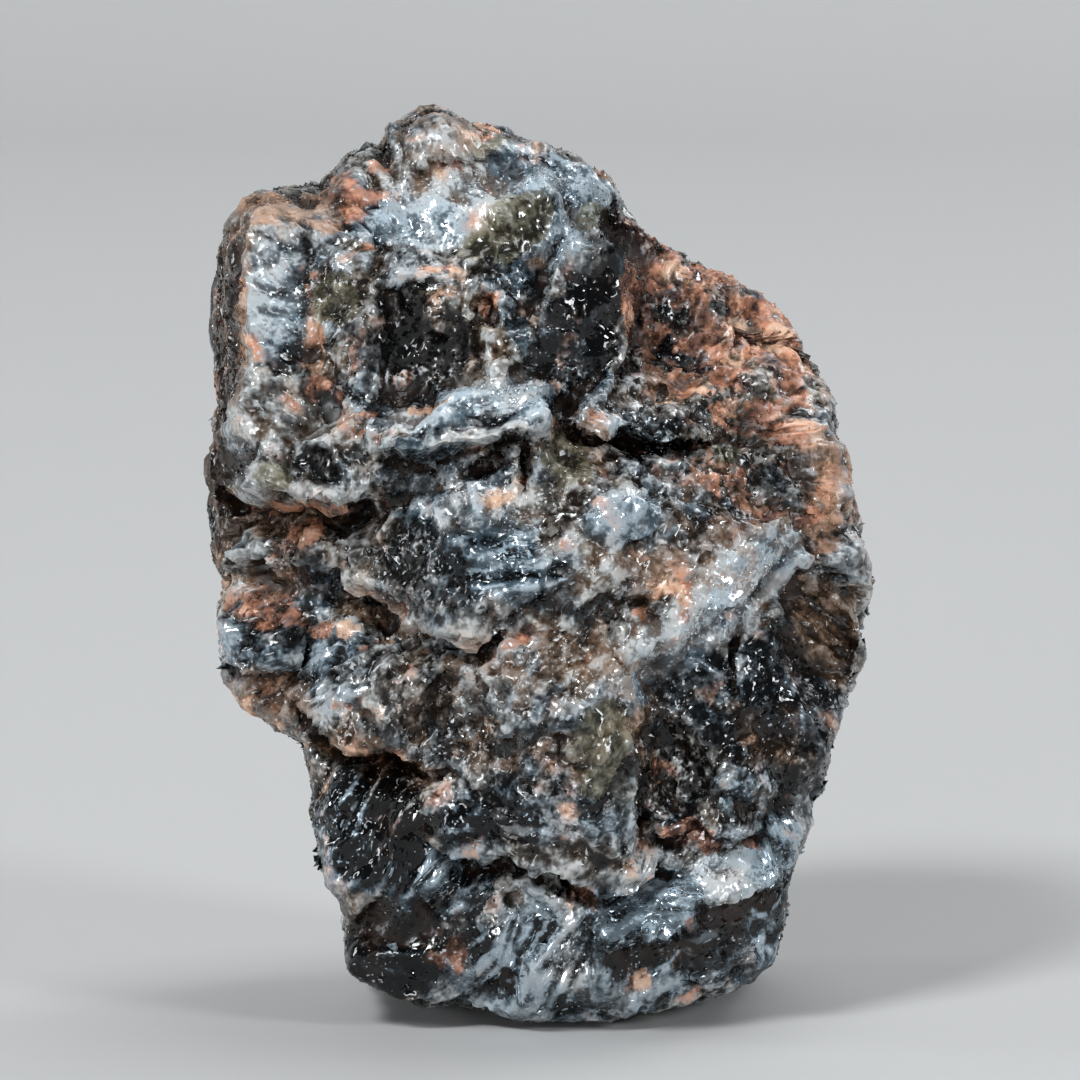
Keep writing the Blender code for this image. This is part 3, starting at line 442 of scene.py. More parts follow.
# a fixed random share, 0 to 1, for each whole-numbered cell: its three numbers are mixed as bits
def chance(cells, salt):
    mixed = (cells[..., 0] * 73856093) ^ (cells[..., 1] * 19349663) ^ (cells[..., 2] * 83492791)
    mixed = (mixed ^ (salt * 2654435761)) & 0xFFFFFFFF
    for shift, factor in ((15, 2246822519), (13, 3266489917)):
        mixed = ((mixed ^ (mixed >> shift)) * factor) & 0xFFFFFFFF
    return ((mixed ^ (mixed >> 16)) & 0xFFFFFF) / float(0x1000000)


# smooth noise, -1 to 1: the eight corners of a point's cell, weighed by how near they are; each
# salt gives a noise of its own
def noise(points, size, salt):
    scaled = points / size
    cells = np.floor(scaled).astype(np.int64)
    share = scaled - cells
    share = share * share * (3.0 - 2.0 * share)
    total = np.zeros(len(points))
    for corner in np.ndindex(2, 2, 2):
        weight = np.prod(np.where(corner, share, 1.0 - share), axis=1)
        total += weight * chance(cells + np.array(corner), salt)
    return 2.0 * total - 1.0


# noise of several heights and sizes, added up
def layered(points, layers, salt):
    return sum(height * noise(points, size, salt + turn) for turn, (height, size) in enumerate(layers))


# three values side by side, by three salts in a row
def three(source, salt, *inputs):
    return np.stack([source(*inputs, salt + turn) for turn in range(3)], axis=1)


# the 27 scattered centres nearest each point, one to a cell: each one's cell and the way from it
def scattered(points, size, salt):
    scaled = points / size
    own = np.floor(scaled).astype(np.int64)
    for step in np.ndindex(3, 3, 3):
        cell = own + np.array(step) - 1
        yield cell, scaled - (cell + three(chance, salt + 1, cell))


# three random shares, 0 to 1, for each point: those of the nearest scattered centre
def patchShares(points, size, salt):
    nearest = np.full(len(points), np.inf)
    shares = np.zeros((len(points), 3))
    for cell, away in scattered(points, size, salt):
        distance = (away ** 2).sum(axis=1)
        closer = distance < nearest
        nearest[closer] = distance[closer]
        shares[closer] = three(chance, salt + 4, cell[closer])
    return shares


# broken chips: each point takes the slanting plane of the nearest of the scattered chip centres,
# and planes fade out towards their shared borders
def chips(points, size, salt):
    nearest, second = np.full((2, len(points)), np.inf)
    height = np.zeros(len(points))
    for cell, away in scattered(points, size, salt):
        distance = np.sqrt((away ** 2).sum(axis=1))
        slope = three(chance, salt + 4, cell) - 0.5
        plane = 2.0 * (slope * away).sum(axis=1) + 0.5 * (chance(cell, salt + 7) - 0.5)
        closer = distance < nearest
        second = np.where(closer, nearest, np.minimum(second, distance))
        height = np.where(closer, plane, height)
        nearest = np.where(closer, distance, nearest)
    return size * height * smoothStep(0.0, stone["chipBorder"], second - nearest)


# chips of several steepnesses and sizes, added up
def chipped(points, layers, salt):
    return sum(slope * chips(points, size, salt + 10 * turn)
               for turn, (slope, size) in enumerate(layers))


# small pores: a round dip, 1 - (r / radius)^2, at some of the scattered centres
def pores(points, size, salt):
    depth = np.zeros(len(points))
    least, spread = stone["poreRadius"]
    for cell, away in scattered(points, size, salt):
        radius = least + spread * chance(cell, salt + 4)
        dip = 1.0 - (away ** 2).sum(axis=1) / radius ** 2
        isPore = chance(cell, salt + 5) < stone["poreShare"]
        depth = np.maximum(depth, np.clip(dip, 0.0, 1.0) * isPore)
    return depth


# distance from the heart to the outline at an angle round the face
def outlineReach(angle):
    right, above = np.array(outline).T
    return np.interp(angle, np.arctan2(above, right), np.hypot(right, above), period=math.tau)


# distance from the heart to the plain body: a pebble, (across / edge)^p + (out / depth)^p = 1,
# joined to the large flats by a soft minimum
def bodyReach(ways):
    across = np.hypot(ways[:, 0], ways[:, 1])
    angle = np.arctan2(ways[:, 1], ways[:, 0])
    arc = math.radians(stone["softArc"])
    evened = np.mean([outlineReach(angle + turn) for turn in np.linspace(-arc, arc, 9)], axis=0)
    edge = evened + (outlineReach(angle) - evened) * smoothStep(*stone["outlineFrom"], across)
    edge *= stone["rimMargin"]
    depth = np.where(ways[:, 2] > 0.0, stone["frontDepth"], stone["backDepth"])
    power = stone["pebblePower"] + stone["footPower"] * smoothStep(*stone["footFrom"], ways[:, 1])
    inverse = ((across / edge) ** power + (np.abs(ways[:, 2]) / depth) ** power) ** (1.0 / power)
    total = inverse ** stone["arrisPower"]
    for facing, distance in flats:
        total += np.maximum(ways @ np.array(facing) / distance, 0.0) ** stone["arrisPower"]
    return total ** (-1.0 / stone["arrisPower"])


# places measured from a feature's centre, along its own axes, in its half sizes
def turned(across, up, middleAcross, middleUp, halfAcross, halfUp, turn):
    angle = math.radians(turn)
    right, above = across - middleAcross, up - middleUp
    along = (right * math.cos(angle) + above * math.sin(angle)) / halfAcross
    over = (above * math.cos(angle) - right * math.sin(angle)) / halfUp
    return along, over


# a feature's share: 0 past its soft edge, easing to 1 at its heart
def spot(across, up, place, edge, full):
    return smoothStep(edge, full, np.hypot(*turned(across, up, *place)))


# a flat, slanting patch inside a squarish edge, x^6 + y^6 = 1
def facet(across, up, out, entry):
    *place, height, slopeAcross, slopeUp, softness = entry
    along, over = turned(across, up, *place)
    inside = smoothStep(1.0 + softness, 1.0 - softness, (along ** 6 + over ** 6) ** (1.0 / 6.0))
    plane = height + slopeAcross * (across - place[0]) + slopeUp * (up - place[1])
    return (plane - out) * inside


# a lip along a line: by the signed distance from the line, the high side swells towards the
# lip and hangs over, and the low side drops and then runs out
def ledge(across, up, line, lip, depth, reach, hang):
    starts = np.array(line[:-1])
    runs = np.diff(line, axis=0)
    lengths = np.hypot(*runs.T)
    right, above = across[:, None] - starts[:, 0], up[:, None] - starts[:, 1]
    along = np.clip((right * runs[:, 0] + above * runs[:, 1]) / lengths ** 2, 0.0, 1.0)
    distance = np.hypot(right - along * runs[:, 0], above - along * runs[:, 1])
    nearest = distance.argmin(axis=1)
    rows = np.arange(len(across))
    side = (np.sign(runs[:, 0] * above - runs[:, 1] * right) * distance)[rows, nearest]
    share = (nearest + along[rows, nearest]) / len(starts)
    lean = np.stack([runs[:, 1] / lengths, -runs[:, 0] / lengths], axis=1)[nearest]
    ends = stone["ledgeEnds"]
    fade = smoothStep(0.0, ends, share) * smoothStep(1.0, 1.0 - ends, share)
    aboveEdge = smoothStep(-stone["ledgeEdge"], stone["ledgeEdge"], side)
    high = lip * np.exp(-(np.maximum(side, 0.0) / stone["lipReach"]) ** 2)
    low = -depth * smoothStep(-reach, 0.0, side)
    rise = fade * (low + (high - low) * aboveEdge)
    droop = fade * aboveEdge * np.exp(-(side / stone["lipReach"]) ** 2) * hang
    return rise, lean * droop[:, None]


# places across and up a side, with their edges made to wander by noise of several sizes
def wandered(points, seen):
    across, up = seen[:, 0].copy(), seen[:, 1].copy()
    for far, length in stone["wander"]:
        across += far * noise(points, length, 11)
        up += far * noise(points, length, 12)
    return across, up


# how squarely the surface faces a side, 0 to 1, by its way from the heart
def facingShare(seen, low, high):
    return smoothStep(low, high, unit(seen)[:, 2])


# one side's crystal faces, lumps, ledges and pits are added to its height, seen square on
def dressSide(points, side):
    axes = np.array(sides[side], dtype=float)
    seen = points @ axes.T
    facing = facingShare(seen, *stone["dressFacing"])
    across, up = wandered(points, seen)
    for entry in facets[side]:
        seen[:, 2] += facing * facet(across, up, seen[:, 2], entry)
    for *place, height in lumps[side]:
        along, over = turned(across, up, *place)
        seen[:, 2] += facing * height * np.clip(1.0 - along ** 2 - over ** 2, 0.0, 1.0) ** 0.6
    for entry in ledges[side]:
        rise, drift = ledge(across, up, *entry)
        seen[:, 2] += facing * rise
        seen[:, :2] += facing[:, None] * drift
    for *place, depth in pits[side]:
        seen[:, 2] -= facing * depth * spot(across, up, place, 1.15, 0.55)
    return seen @ axes


# whatever stands past the outline less a margin is drawn in to it
def keptInside(points, margin):
    across = np.hypot(points[:, 0], points[:, 1])
    limit = outlineReach(np.arctan2(points[:, 1], points[:, 0])) - margin
    power = stone["outlinePower"]
    share = (1.0 + (across / limit) ** power) ** (-1.0 / power)
    return points * np.stack([share, share, np.ones(len(points))], axis=1)


# a box's surface as one net of squares with shared edges: places from -1 to 1, and corners
def boxNet(counts):
    quads = []
    for axis in range(3):
        one, two = (axis + 1) % 3, (axis + 2) % 3
        first, second = np.indices((counts[one], counts[two])).reshape(2, -1)
        for end in (0, counts[axis]):
            corners = [(0, 0), (1, 0), (1, 1), (0, 1)] if end else [(0, 0), (0, 1), (1, 1), (1, 0)]
            quad = np.full((len(first), 4, 3), end)
            for corner, (stepOne, stepTwo) in enumerate(corners):
                quad[:, corner, one] = first + stepOne
                quad[:, corner, two] = second + stepTwo
            quads.append(quad)
    quads = np.concatenate(quads)
    rows, layers = counts[1] + 1, counts[2] + 1
    keys, corners = np.unique((quads[..., 0] * rows + quads[..., 1]) * layers + quads[..., 2],
                              return_inverse=True)
    places = np.stack([keys // (rows * layers), keys // layers % rows, keys % layers], axis=1)
    return 2.0 * places / np.array(counts) - 1.0, corners.reshape(-1, 4)


# the sum of the rows of values that belong to each number
def gathered(values, numbers, count):
    return np.stack([np.bincount(numbers, column, count) for column in values.T], axis=1)


# each vertex's normal: the sum of its squares' normals, by their diagonals
def vertexNormals(points, corners):
    a, b, c, d = (points[corners[:, n]] for n in range(4))
    squares = np.cross(c - a, d - b)
    return unit(sum(gathered(squares, corners[:, n], len(points)) for n in range(4)))


# every vertex moves to the middle of its neighbours, a number of times
def evenedOut(values, corners, times):
    starts = corners.ravel()
    ends = np.roll(corners, -1, axis=1).ravel()
    count = np.bincount(starts, minlength=len(values)) + np.bincount(ends, minlength=len(values))
    for turn in range(times):
        total = gathered(values[ends], starts, len(values)) + gathered(values[starts], ends, len(values))
        values = total / count[:, None]
    return values


# how strongly each point is marked: on the show side, the largest of the patches' soft, ragged
# ellipses; past it, noise above a level
def marked(points, kind, salt):
    facing = facingShare(points, *stone["patchFacing"])
    across, up = wandered(points, points)
    ragged, size = stone["ragged"]
    across += ragged * noise(points, size, 71)
    up += ragged * noise(points, size, 72)
    strength = np.zeros(len(points))
    for *place, amount in patches[kind]:
        strength = np.maximum(strength, amount * spot(across, up, place, 1.25, 0.7))
    wild = elsewhere[kind] * smoothStep(0.1, 0.55, layered(points, stone["wild"], salt))
    return strength * facing + wild * (1.0 - facing)


# the face frame into the world: the face leans back and looks along -Y
def turnedOut(ways):
    lean = math.radians(stone["lean"])
    right, above, out = ways.T
    forward = above * math.sin(lean) - out * math.cos(lean)
    height = above * math.cos(lean) + out * math.sin(lean)
    return np.stack([right, forward, height], axis=1)


# and the stone's heart goes to its height above the floor
def standUp(points):
    return turnedOut(points) + np.array([0.0, 0.0, stone["heartHeight"]])


# striae: how strong they are, places along and across them in mm, and the way across them
def striaeOn(points):
    marks = {"stria": np.zeros(len(points)), "along": points[:, 0] * 0.8 + points[:, 2] * 0.6,
             "across": points[:, 1] + 0.35 * points[:, 0], "acrossWay": np.zeros_like(points)}
    for side, entries in striated.items():
        axes = np.array(sides[side], dtype=float)
        seen = points @ axes.T
        facing = facingShare(seen, *stone["striaFacing"][side])
        across, up = wandered(points, seen)
        for *place, way, amount in entries:
            mask = spot(across, up, place, 1.25, 0.8) * facing * amount
            along, over = turned(seen[:, 0], seen[:, 1], 0.0, 0.0, 1.0, 1.0, way)
            over = over + layered(points, stone["striaWander"], 73)
            stronger = mask > marks["stria"]
            angle = math.radians(way) + 0.5 * noise(points[stronger], 0.6, 75)[:, None]
            upward = axes[1] * np.cos(angle) - axes[0] * np.sin(angle)
            marks["acrossWay"][stronger] = turnedOut(upward)
            marks["along"][stronger] = along[stronger]
            marks["across"][stronger] = over[stronger]
            marks["stria"][stronger] = mask[stronger]
    return marks


# random shares by patch, with the patches' borders bent by noise
def bentPatches(points, name, salt):
    far, length = stone[name + "Bend"]
    return patchShares(points + far * three(noise, salt, points, length), stone[name + "Size"], salt + 3)


# the kinds of grain by large patches, the turn of each flat crystal face, and slow noise
def sortedBy(points):
    kinds = bentPatches(points, "patch", 161)
    flakes = bentPatches(points, "flake", 191)
    return {"lightKind": kinds[:, 0], "warmKind": kinds[:, 1], "glintKind": kinds[:, 2],
            "flake": flakes - 0.5, "drift": layered(points, stone["drift"], 181),
            "blotch": layered(points, stone["blotch"], 184)}


def addObject(name, data):
    thing = bpy.data.objects.new(name, data)
    bpy.context.collection.objects.link(thing)
    return thing


# a mesh whose points carry the marks as attributes, which the material reads
def addMesh(name, places, corners, material, marks):
    mesh = bpy.data.meshes.new(name)
    mesh.from_pydata(places.tolist(), [], corners.tolist())
    for mark, values in marks.items():
        kind, field = ('FLOAT_VECTOR', "vector") if values.ndim == 2 else ('FLOAT', "value")
        layer = mesh.attributes.new(mark, kind, 'POINT')
        layer.data.foreach_set(field, values.astype(np.float32).ravel())
    mesh.materials.append(material)
    return addObject(name, mesh)


# a socket that takes part in sums: each operator adds the Math node it stands for
class Wire:
    def __init__(self, board, socket):
        self.board = board
        self.socket = socket

    def maths(self, operation, first, second):
        return self.board.node("Math", {0: first, 1: second}, operation=operation)

    def __add__(self, other):
        return self.maths("ADD", self, other)

    def __sub__(self, other):
        return self.maths("SUBTRACT", self, other)

    def __rsub__(self, other):
        return self.maths("SUBTRACT", other, self)

    def __mul__(self, other):
        return self.maths("MULTIPLY", self, other)


# a material's node tree, with one way to add any node
class Board:
    def __init__(self, name):
        self.material = bpy.data.materials.new(name)
        self.material.use_nodes = True
        self.tree = self.material.node_tree
        self.shader = self.tree.nodes["Principled BSDF"]

    def node(self, kind, sockets=None, out=0, **settings):
        added = self.tree.nodes.new("ShaderNode" + kind)
        for name, value in settings.items():
            setattr(added, name, value)
        for name, value in (sockets or {}).items():
            self.plug(added.inputs[name], value)
        return Wire(self, added.outputs[out])

    def plug(self, socket, value):
        if isinstance(value, Wire):
            self.tree.links.new(value.socket, socket)
        else:
            socket.default_value = value

    def ramp(self, value, stops):
        ramp = self.node("ValToRGB", {0: value})
        elements = ramp.socket.node.color_ramp.elements
        for number, (place, colour) in enumerate(stops):
            stop = elements[number] if number < 2 else elements.new(place)
            stop.position = place
            stop.color = (*colour, 1.0)
        return ramp

    def blend(self, share, first, second):
        first, second = (colour if isinstance(colour, Wire) else (*colour, 1.0)
                         for colour in (first, second))
        return self.node("Mix", {0: share, 6: first, 7: second}, 2, data_type='RGBA')

    def vector(self, operation, first, second=(0.0, 0.0, 0.0)):
        return self.node("VectorMath", {0: first, 1: second}, operation=operation)

    def scaled(self, vector, amount):
        return self.node("VectorMath", {0: vector, 3: amount}, operation='SCALE')

    def eased(self, value, low, high):
        return self.node("MapRange", {0: value, 1: low, 2: high, 3: 0.0, 4: 1.0},
                         interpolation_type='SMOOTHSTEP')

    def mark(self, name, out="Fac"):
        return self.node("Attribute", out=out, attribute_name=name)

    def cloud(self, place, size, detail, out="Fac"):
        return self.node("TexNoise", {"Vector": place, "Scale": 1.0 / size, "Detail": detail}, out)

    # places on the piece in mm
    def place(self):
        return self.scaled(self.node("TexCoord", out="Object"), 1.0 / mm)


# Every mix gives how much each mark adds to it, and "one" is what it starts from.
finish = {
    # how light a place is: from black to white, 0 to 1; crests are painted lighter (painted highlight) and
    # nicks darker (painted shade)
    "toneMix": dict(one=0.475, blotch=0.88, fleck=0.25, drift=0.4, flakeOne=0.3, lightKind=0.22,
                    crest=0.1, nick=-0.28, stria=-0.18, dark=-0.48, olive=-0.14, pale=0.3, lit=1.0),
    "lightness": [(0.0, (0.0015,) * 3), (0.22, (0.009,) * 3), (0.46, (0.064,) * 3), (0.7, (0.2,) * 3),
                  (1.0, (0.45,) * 3)],
    # how warm its hue is: from cool to warm, 0 to 1
    "heatMix": dict(one=0.62, drift=0.45, warmKind=0.6, flakeThree=0.5, blotch=0.8, tint=0.05,
                    brown=0.25, steel=-0.6, dark=-0.12),
    "hues": [(0.0, (0.52, 0.78, 0.98)), (0.5, (0.9, 0.885, 0.86)), (1.0, (1.0, 0.75, 0.52))],
    "lightHue": (0.9, 0.95, 0.96),
    # stains in the order that they lie in: their mix, where they start and are full, how strong
    # they get, and their colour
    "stains": {
        "film": (dict(nick=0.5, mottle=-0.5, warmKind=0.5, steel=-0.6, dark=-0.4, brown=0.5,
                      flakeThree=0.3), 0.1, 0.7, 0.5, (0.09, 0.048, 0.025)),
        "brownStain": (dict(brown=1.0, steel=-0.3, blotch=1.2, flakeThree=0.5),
                       0.2, 0.8, 0.65, (0.1, 0.055, 0.03)),
        "oliveStain": (dict(olive=1.0, flakeTwo=0.3), 0.35, 0.85, 0.78, (0.1, 0.09, 0.058)),
        "tanStain": (dict(tan=1.0, olive=-0.3, blotch=1.2, flakeOne=0.6),
                     0.3, 0.9, 0.75, (0.218, 0.115, 0.062)),
        "rustStain": (dict(rust=1.0, olive=-0.45, steel=-0.08, blotch=1.5, flakeOne=0.9, mottle=0.5,
                           hollow=0.2), 0.28, 0.92, 0.82, None),
    },
    # rust has several colours
    "rustMix": dict(one=0.48, blotch=1.0, flakeThree=0.75, drift=0.4, mottle=0.4),
    "rusts": [(0.1, (0.07, 0.023, 0.01)), (0.38, (0.2, 0.075, 0.038)), (0.62, (0.3, 0.125, 0.067)),
              (0.92, (0.36, 0.23, 0.158))],
    # hollows: painted shade, blended towards a near-black brown as if shade lay in them, partly also the
    # brown that lies in the crevices
    "hollowShadeMix": dict(hollow=1.0, rust=-0.3, paleShare=-0.35),
    "hollowShadeColour": (0.014, 0.007, 0.004),
    # steel: crystal faces that mirror like crumpled foil
    "foilMix": dict(steel=1.0, blotch=1.4, mottle=0.9, flakeOne=0.5, crest=0.15, hollow=-1.0),
    "foilColour": (0.2, 0.228, 0.245),
    # painted glints: specks of light colour and metal on small crystal faces, thick in some patches and
    # thin in others
    "paintedGlintMix": dict(fleck=1.0, mottle=0.35, glintKind=0.1, blotch=0.28, pale=0.09, steel=0.06,
                     hollow=-0.08, frost=0.05, rustStain=-0.03, dark=-0.02),
    "paintedGlintColour": (0.86, 0.93, 0.98),
    "roughMix": dict(one=0.14, flakeTwo=0.12, mottle=0.2, rustStain=0.1, tanStain=0.1, hollow=0.25,
                     dark=-0.09, stria=-0.05),
    "flakeTilt": 0.5,           # how far the flat faces turn the light
    "grainTilt": 0.45,          # and the grains
    "streakTilt": 2.6,          # and the striae
    "shakeSize": 0.11,          # mm across the noise that bends grains and their normals
    "shakeReach": 0.12,         # mm that it bends them
    "mottleSize": 0.1,          # mm across one soft grain
    "speckSize": 0.045,         # mm across the finest glints
    "streakLength": 0.84,       # mm along one stria
    "streakWidth": 0.12,
    "streakStep": 0.2,          # how far across, in widths, a stria's slope is measured
    "ior": 1.43,
}


# one finish for the stone and its shards: grains by tone and hue, stains over them, painted shade in
# hollows, steel faces, then painted glints
def stoneMaterial():
    board = Board("sintered diamond")
    place = board.place()
    shake = board.vector('SUBTRACT', board.cloud(place, finish["shakeSize"], 1.0, "Color"), (0.5, 0.5, 0.5))
    shaken = board.vector('ADD', place, board.scaled(shake, finish["shakeReach"]))
    flake = board.mark("flake", "Vector")
    flakeOne, flakeTwo, flakeThree = (
        board.node("SeparateColor", {0: flake}, which) for which in range(3))
    mottle = board.cloud(shaken, finish["mottleSize"], 1.0) - 0.5
    fleck = board.cloud(place, finish["speckSize"], 0.0) - 0.5
    stria, lit, single, blotch, drift = (
        board.mark(name) for name in ("stria", "lit", "single", "blotch", "drift"))
    marks = dict(one=1.0, flakeOne=flakeOne, flakeTwo=flakeTwo + 0.5, flakeThree=flakeThree,
                 mottle=mottle, fleck=fleck, stria=stria, lit=lit, blotch=blotch, drift=drift)
    marks.update({name: board.mark(name) for name in (*patches, "hollow", "crest", "nick", "tint")})
    marks.update({name: board.mark(name) - 0.5 for name in ("lightKind", "warmKind", "glintKind")})
    pale, dark, olive, steel = (marks[name] for name in ("pale", "dark", "olive", "steel"))

    def mixed(mix):
        total = 0.0
        for name, share in mix.items():
            total = marks[name] * share + total
        return total

    along = board.mark("along") * (1.0 / finish["streakLength"])
    across = board.mark("across") * (1.0 / finish["streakWidth"])
    streak, beside = (board.cloud(board.node("CombineXYZ", {
        "X": along, "Y": across + aside, "Z": drift}), 1.0, 0.0) - 0.5
        for aside in (0.0, finish["streakStep"]))
    paleShare = marks["paleShare"] = board.eased(pale, 0.0, 1.2)

    # how light each place is: its grains and striae, lighter on crests and darker in nicks, then
    # hollows darkened as painted shade, steel faces, frost on dark faces, and few dark grains in pale
    # patches
    tone = mixed(finish["toneMix"]) + mottle * (1.15 - single * 0.6) + streak * stria * 2.6
    tone = tone - marks["hollow"] * (0.45 - paleShare * 0.25) + (flakeOne + blotch) * steel * 0.3
    tone = tone + (mottle * 1.6 + fleck * 1.2 + 0.26) * marks["frost"] * dark
    tone = tone + paleShare * board.eased(tone, 0.65, 0.0) * 0.44
    heat = mixed(finish["heatMix"]) - board.eased(tone, 0.1, 0.7) * 0.1
    # the lightest grains have hardly any colour, apart from those on steel faces
    hue = board.blend(board.eased(tone, 0.4, 0.85) * (0.68 - steel * 0.24),
                      board.ramp(heat, finish["hues"]), finish["lightHue"])
    colour = board.vector('MULTIPLY', board.ramp(tone, finish["lightness"]), hue)
    # stains take the tone of the grains they lie on
    stained = board.eased(tone, -0.1, 1.0) * 1.6 + 0.14
    for name, (mix, start, full, most, stain) in finish["stains"].items():
        marks[name] = board.eased(mixed(mix), start, full)
        stain = stain or board.ramp(mixed(finish["rustMix"]), finish["rusts"])
        colour = board.blend(marks[name] * most, colour, board.scaled(stain, stained))
    # painted shade: the hollows are blended towards near-black
    colour = board.blend(board.eased(mixed(finish["hollowShadeMix"]), 0.35, 1.0) * 0.75, colour,
                         finish["hollowShadeColour"])
    foil = board.eased(mixed(finish["foilMix"]), 0.45, 0.95)
    foil = foil * (1.0 - marks["rustStain"]) * (1.0 - dark * 0.5)
    colour = board.blend(foil * 0.25, colour, board.scaled(finish["foilColour"], stained))

    # painted glints: specks of light colour and metal on small crystal faces, then on striae, then on the
    # lightest shards
    paintedShine = board.eased(mixed(finish["paintedGlintMix"]), 0.25, 0.36)
    bright = board.eased(streak + mottle * 0.3, 0.06, 0.22)
    paintedShine = paintedShine + bright * stria * (steel * 0.6 + 0.35) * (1.0 - dark * 0.4)
    paintedShine = board.eased(paintedShine + board.eased(lit, 0.34, 0.6) * 0.8, 0.0, 1.0)
    paintedShine = paintedShine * (marks["flakeTwo"] * 0.6 + 0.4) * (1.0 - dark * 0.3) * (1.0 - olive * 0.8)
    paintedGlint = board.scaled(board.blend(0.5, hue, finish["paintedGlintColour"]), 0.8)

    # the normal turns with flat faces, grains and striae
    turn = board.scaled(flake, (1.0 - single * 0.8) * finish["flakeTilt"])
    acrossWay = board.mark("acrossWay", "Vector")
    for way, amount in ((shake, (dark * 0.5 - stria * 0.6 + 1.0) * finish["grainTilt"]),
                        (acrossWay, (streak - beside) * stria * finish["streakTilt"])):
        turn = board.vector('ADD', turn, board.scaled(way, amount))
    normal = board.vector('ADD', board.node("NewGeometry", out="Normal"), turn)
    for name, value in (("Base Color", board.blend(paintedShine, colour, paintedGlint)),
                        ("Roughness", mixed(finish["roughMix"])),
                        ("Metallic", board.eased(paintedShine * 0.65 + foil * 0.35, 0.0, 1.0)),
                        ("Normal", board.vector('NORMALIZE', normal)),
                        ("IOR", finish["ior"])):
        board.plug(board.shader.inputs[name], value)
    return board.material


# the main form: the pebble, then every side's own forms, drawn in to the outline
def mainForm():
    cube, corners = boxNet(stone["net"])
    ways = unit(np.tan(cube * math.pi / 4.0) * np.array(stone["girth"]))
    points = ways * bodyReach(ways)[:, None]
    points += ways * layered(points, stone["swell"], 21)[:, None]
    for side in sides:
        points = dressSide(points, side)
    return keptInside(points, stone["roughMargin"]), ways, corners


# what the finish has to know about each point, apart from its relief
def marksOn(points):
    marks = {kind: marked(points, kind, 141 + 2 * number) for number, kind in enumerate(patches)}
    marks.update(sortedBy(points))
    marks.update(striaeOn(points))
    marks["stria"] *= 1.0 - stone["rustHides"] * np.minimum(marks["rust"], 1.0)
    return marks


# fine chips, pores and grit, fainter on dark and striated faces, and the striae's grooves
def fineRelief(points, marks):
    fine = chipped(points, stone["fineChips"], 81)
    depth, size = stone["pores"]
    fine -= depth * pores(points, size, 111)
    fine += layered(points, stone["fineGrit"], 101)
    fine *= 1.0 - stone["darkSmooth"] * marks["dark"] - stone["striaSmooth"] * marks["stria"]
    depth, long, wide = stone["grooves"]
    grooves = np.stack([marks["along"] / long, marks["across"] / wide, points[:, 2] * 0.4], axis=1)
    return fine + depth * marks["stria"] * noise(grooves, 1.0, 121)


# the finished surface: rough chips lie along the ways from the heart, and fine ones along its
# own normals
def makeStone():
    points, ways, corners = mainForm()
    marks = marksOn(points)
    rough = chipped(points, stone["chips"], 31) + layered(points, stone["grit"], 61)
    points = keptInside(points + ways * rough[:, None], -stone["roughMargin"])
    normals = vertexNormals(points, corners)
    points = points + normals * fineRelief(points, marks)[:, None]
    # how far each point lies under its neighbours' middle: far round it, then close by
    under, close = (((evenedOut(points, corners, times) - points) * normals).sum(axis=1)
                    for times in stone["farAndClose"])
    marks["hollow"] = np.clip(under / stone["hollowDepth"], 0.0, 1.0)
    marks["crest"] = np.clip(-under / stone["crestHeight"], 0.0, 1.0)
    marks["nick"] = np.clip(close / stone["nickDepth"], -1.0, 1.0)
    print("carbonado: surface worked out,", len(points), "points")
    places = standUp(points)
    middle = (places.min(axis=0) + places.max(axis=0)) / 2.0
    places[:, :2] -= middle[:2]
    places[:, 2] = np.maximum(places[:, 2], 0.0)
    material = stoneMaterial()
    piece = addMesh("carbonadoStone", places * mm, corners, material, marks)
    piece.data.shade_smooth()
    piece.data.set_sharp_from_angle(angle=math.radians(stone["sharpAngle"]))
    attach(piece, "root")
    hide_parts("carbonado")
    return middle, material, places, corners, marks


grains = {
    "perPiece": 33000,          # crystal shards in each layer
    "clusters": [(1.0, 0.55), (0.5, 0.2)],
    "clusterFrom": (-0.35, 0.45),   # noise where a cluster starts and is full
    "between": 0.7,             # how thick they stand between clusters, to 1 more inside
    # how much fewer there are where the stone is dark, hollow or striated
    "thin": {"dark": 0.3, "hollow": 0.3, "stria": 0.4},
    "clear": 0.15,              # mm above the floor without shards
    # half size in mm: the least, the usual spread above it and the most
    "coarse": (0.03, 0.028, 0.12),
    "fine": (0.015, 0.012, 0.05),
    "large": (0.1, 0.2, 0.015),     # larger crystals: least and most half size, and their share
    "flatter": 0.4,             # how much lower larger crystals are
    "rise": (0.1, 0.4),         # height of a shard's tip, in half sizes
    "sunk": 0.55,               # depth of its base, in half sizes
    "tip": 0.45,                # how far the tip stands off the middle, in half sizes
    "lean": 0.2,                # how far a shard leans
    "uneven": 0.3,              # how far its corners are turned, in right angles
    "reach": (0.65, 1.3),       # how far they are from its middle, in half sizes
    "stretch": (2.0, -0.4),     # how much longer and wider shards get where striae are strong
    "longest": 0.12,            # half length in mm that they may reach
    "edge": 0.75,               # how much smaller shards get on the stone's edges
    "bright": (0.08, 0.26),     # the share of light shards, and where striae are strong
    "tiny": 0.025,              # half size in mm under which shards differ less in tone
    "toneSpread": (0.05, 0.1),  # how much tiny and other shards differ
    "brighter": 0.22,           # how much lighter the light ones are
    "seed": 11,
}


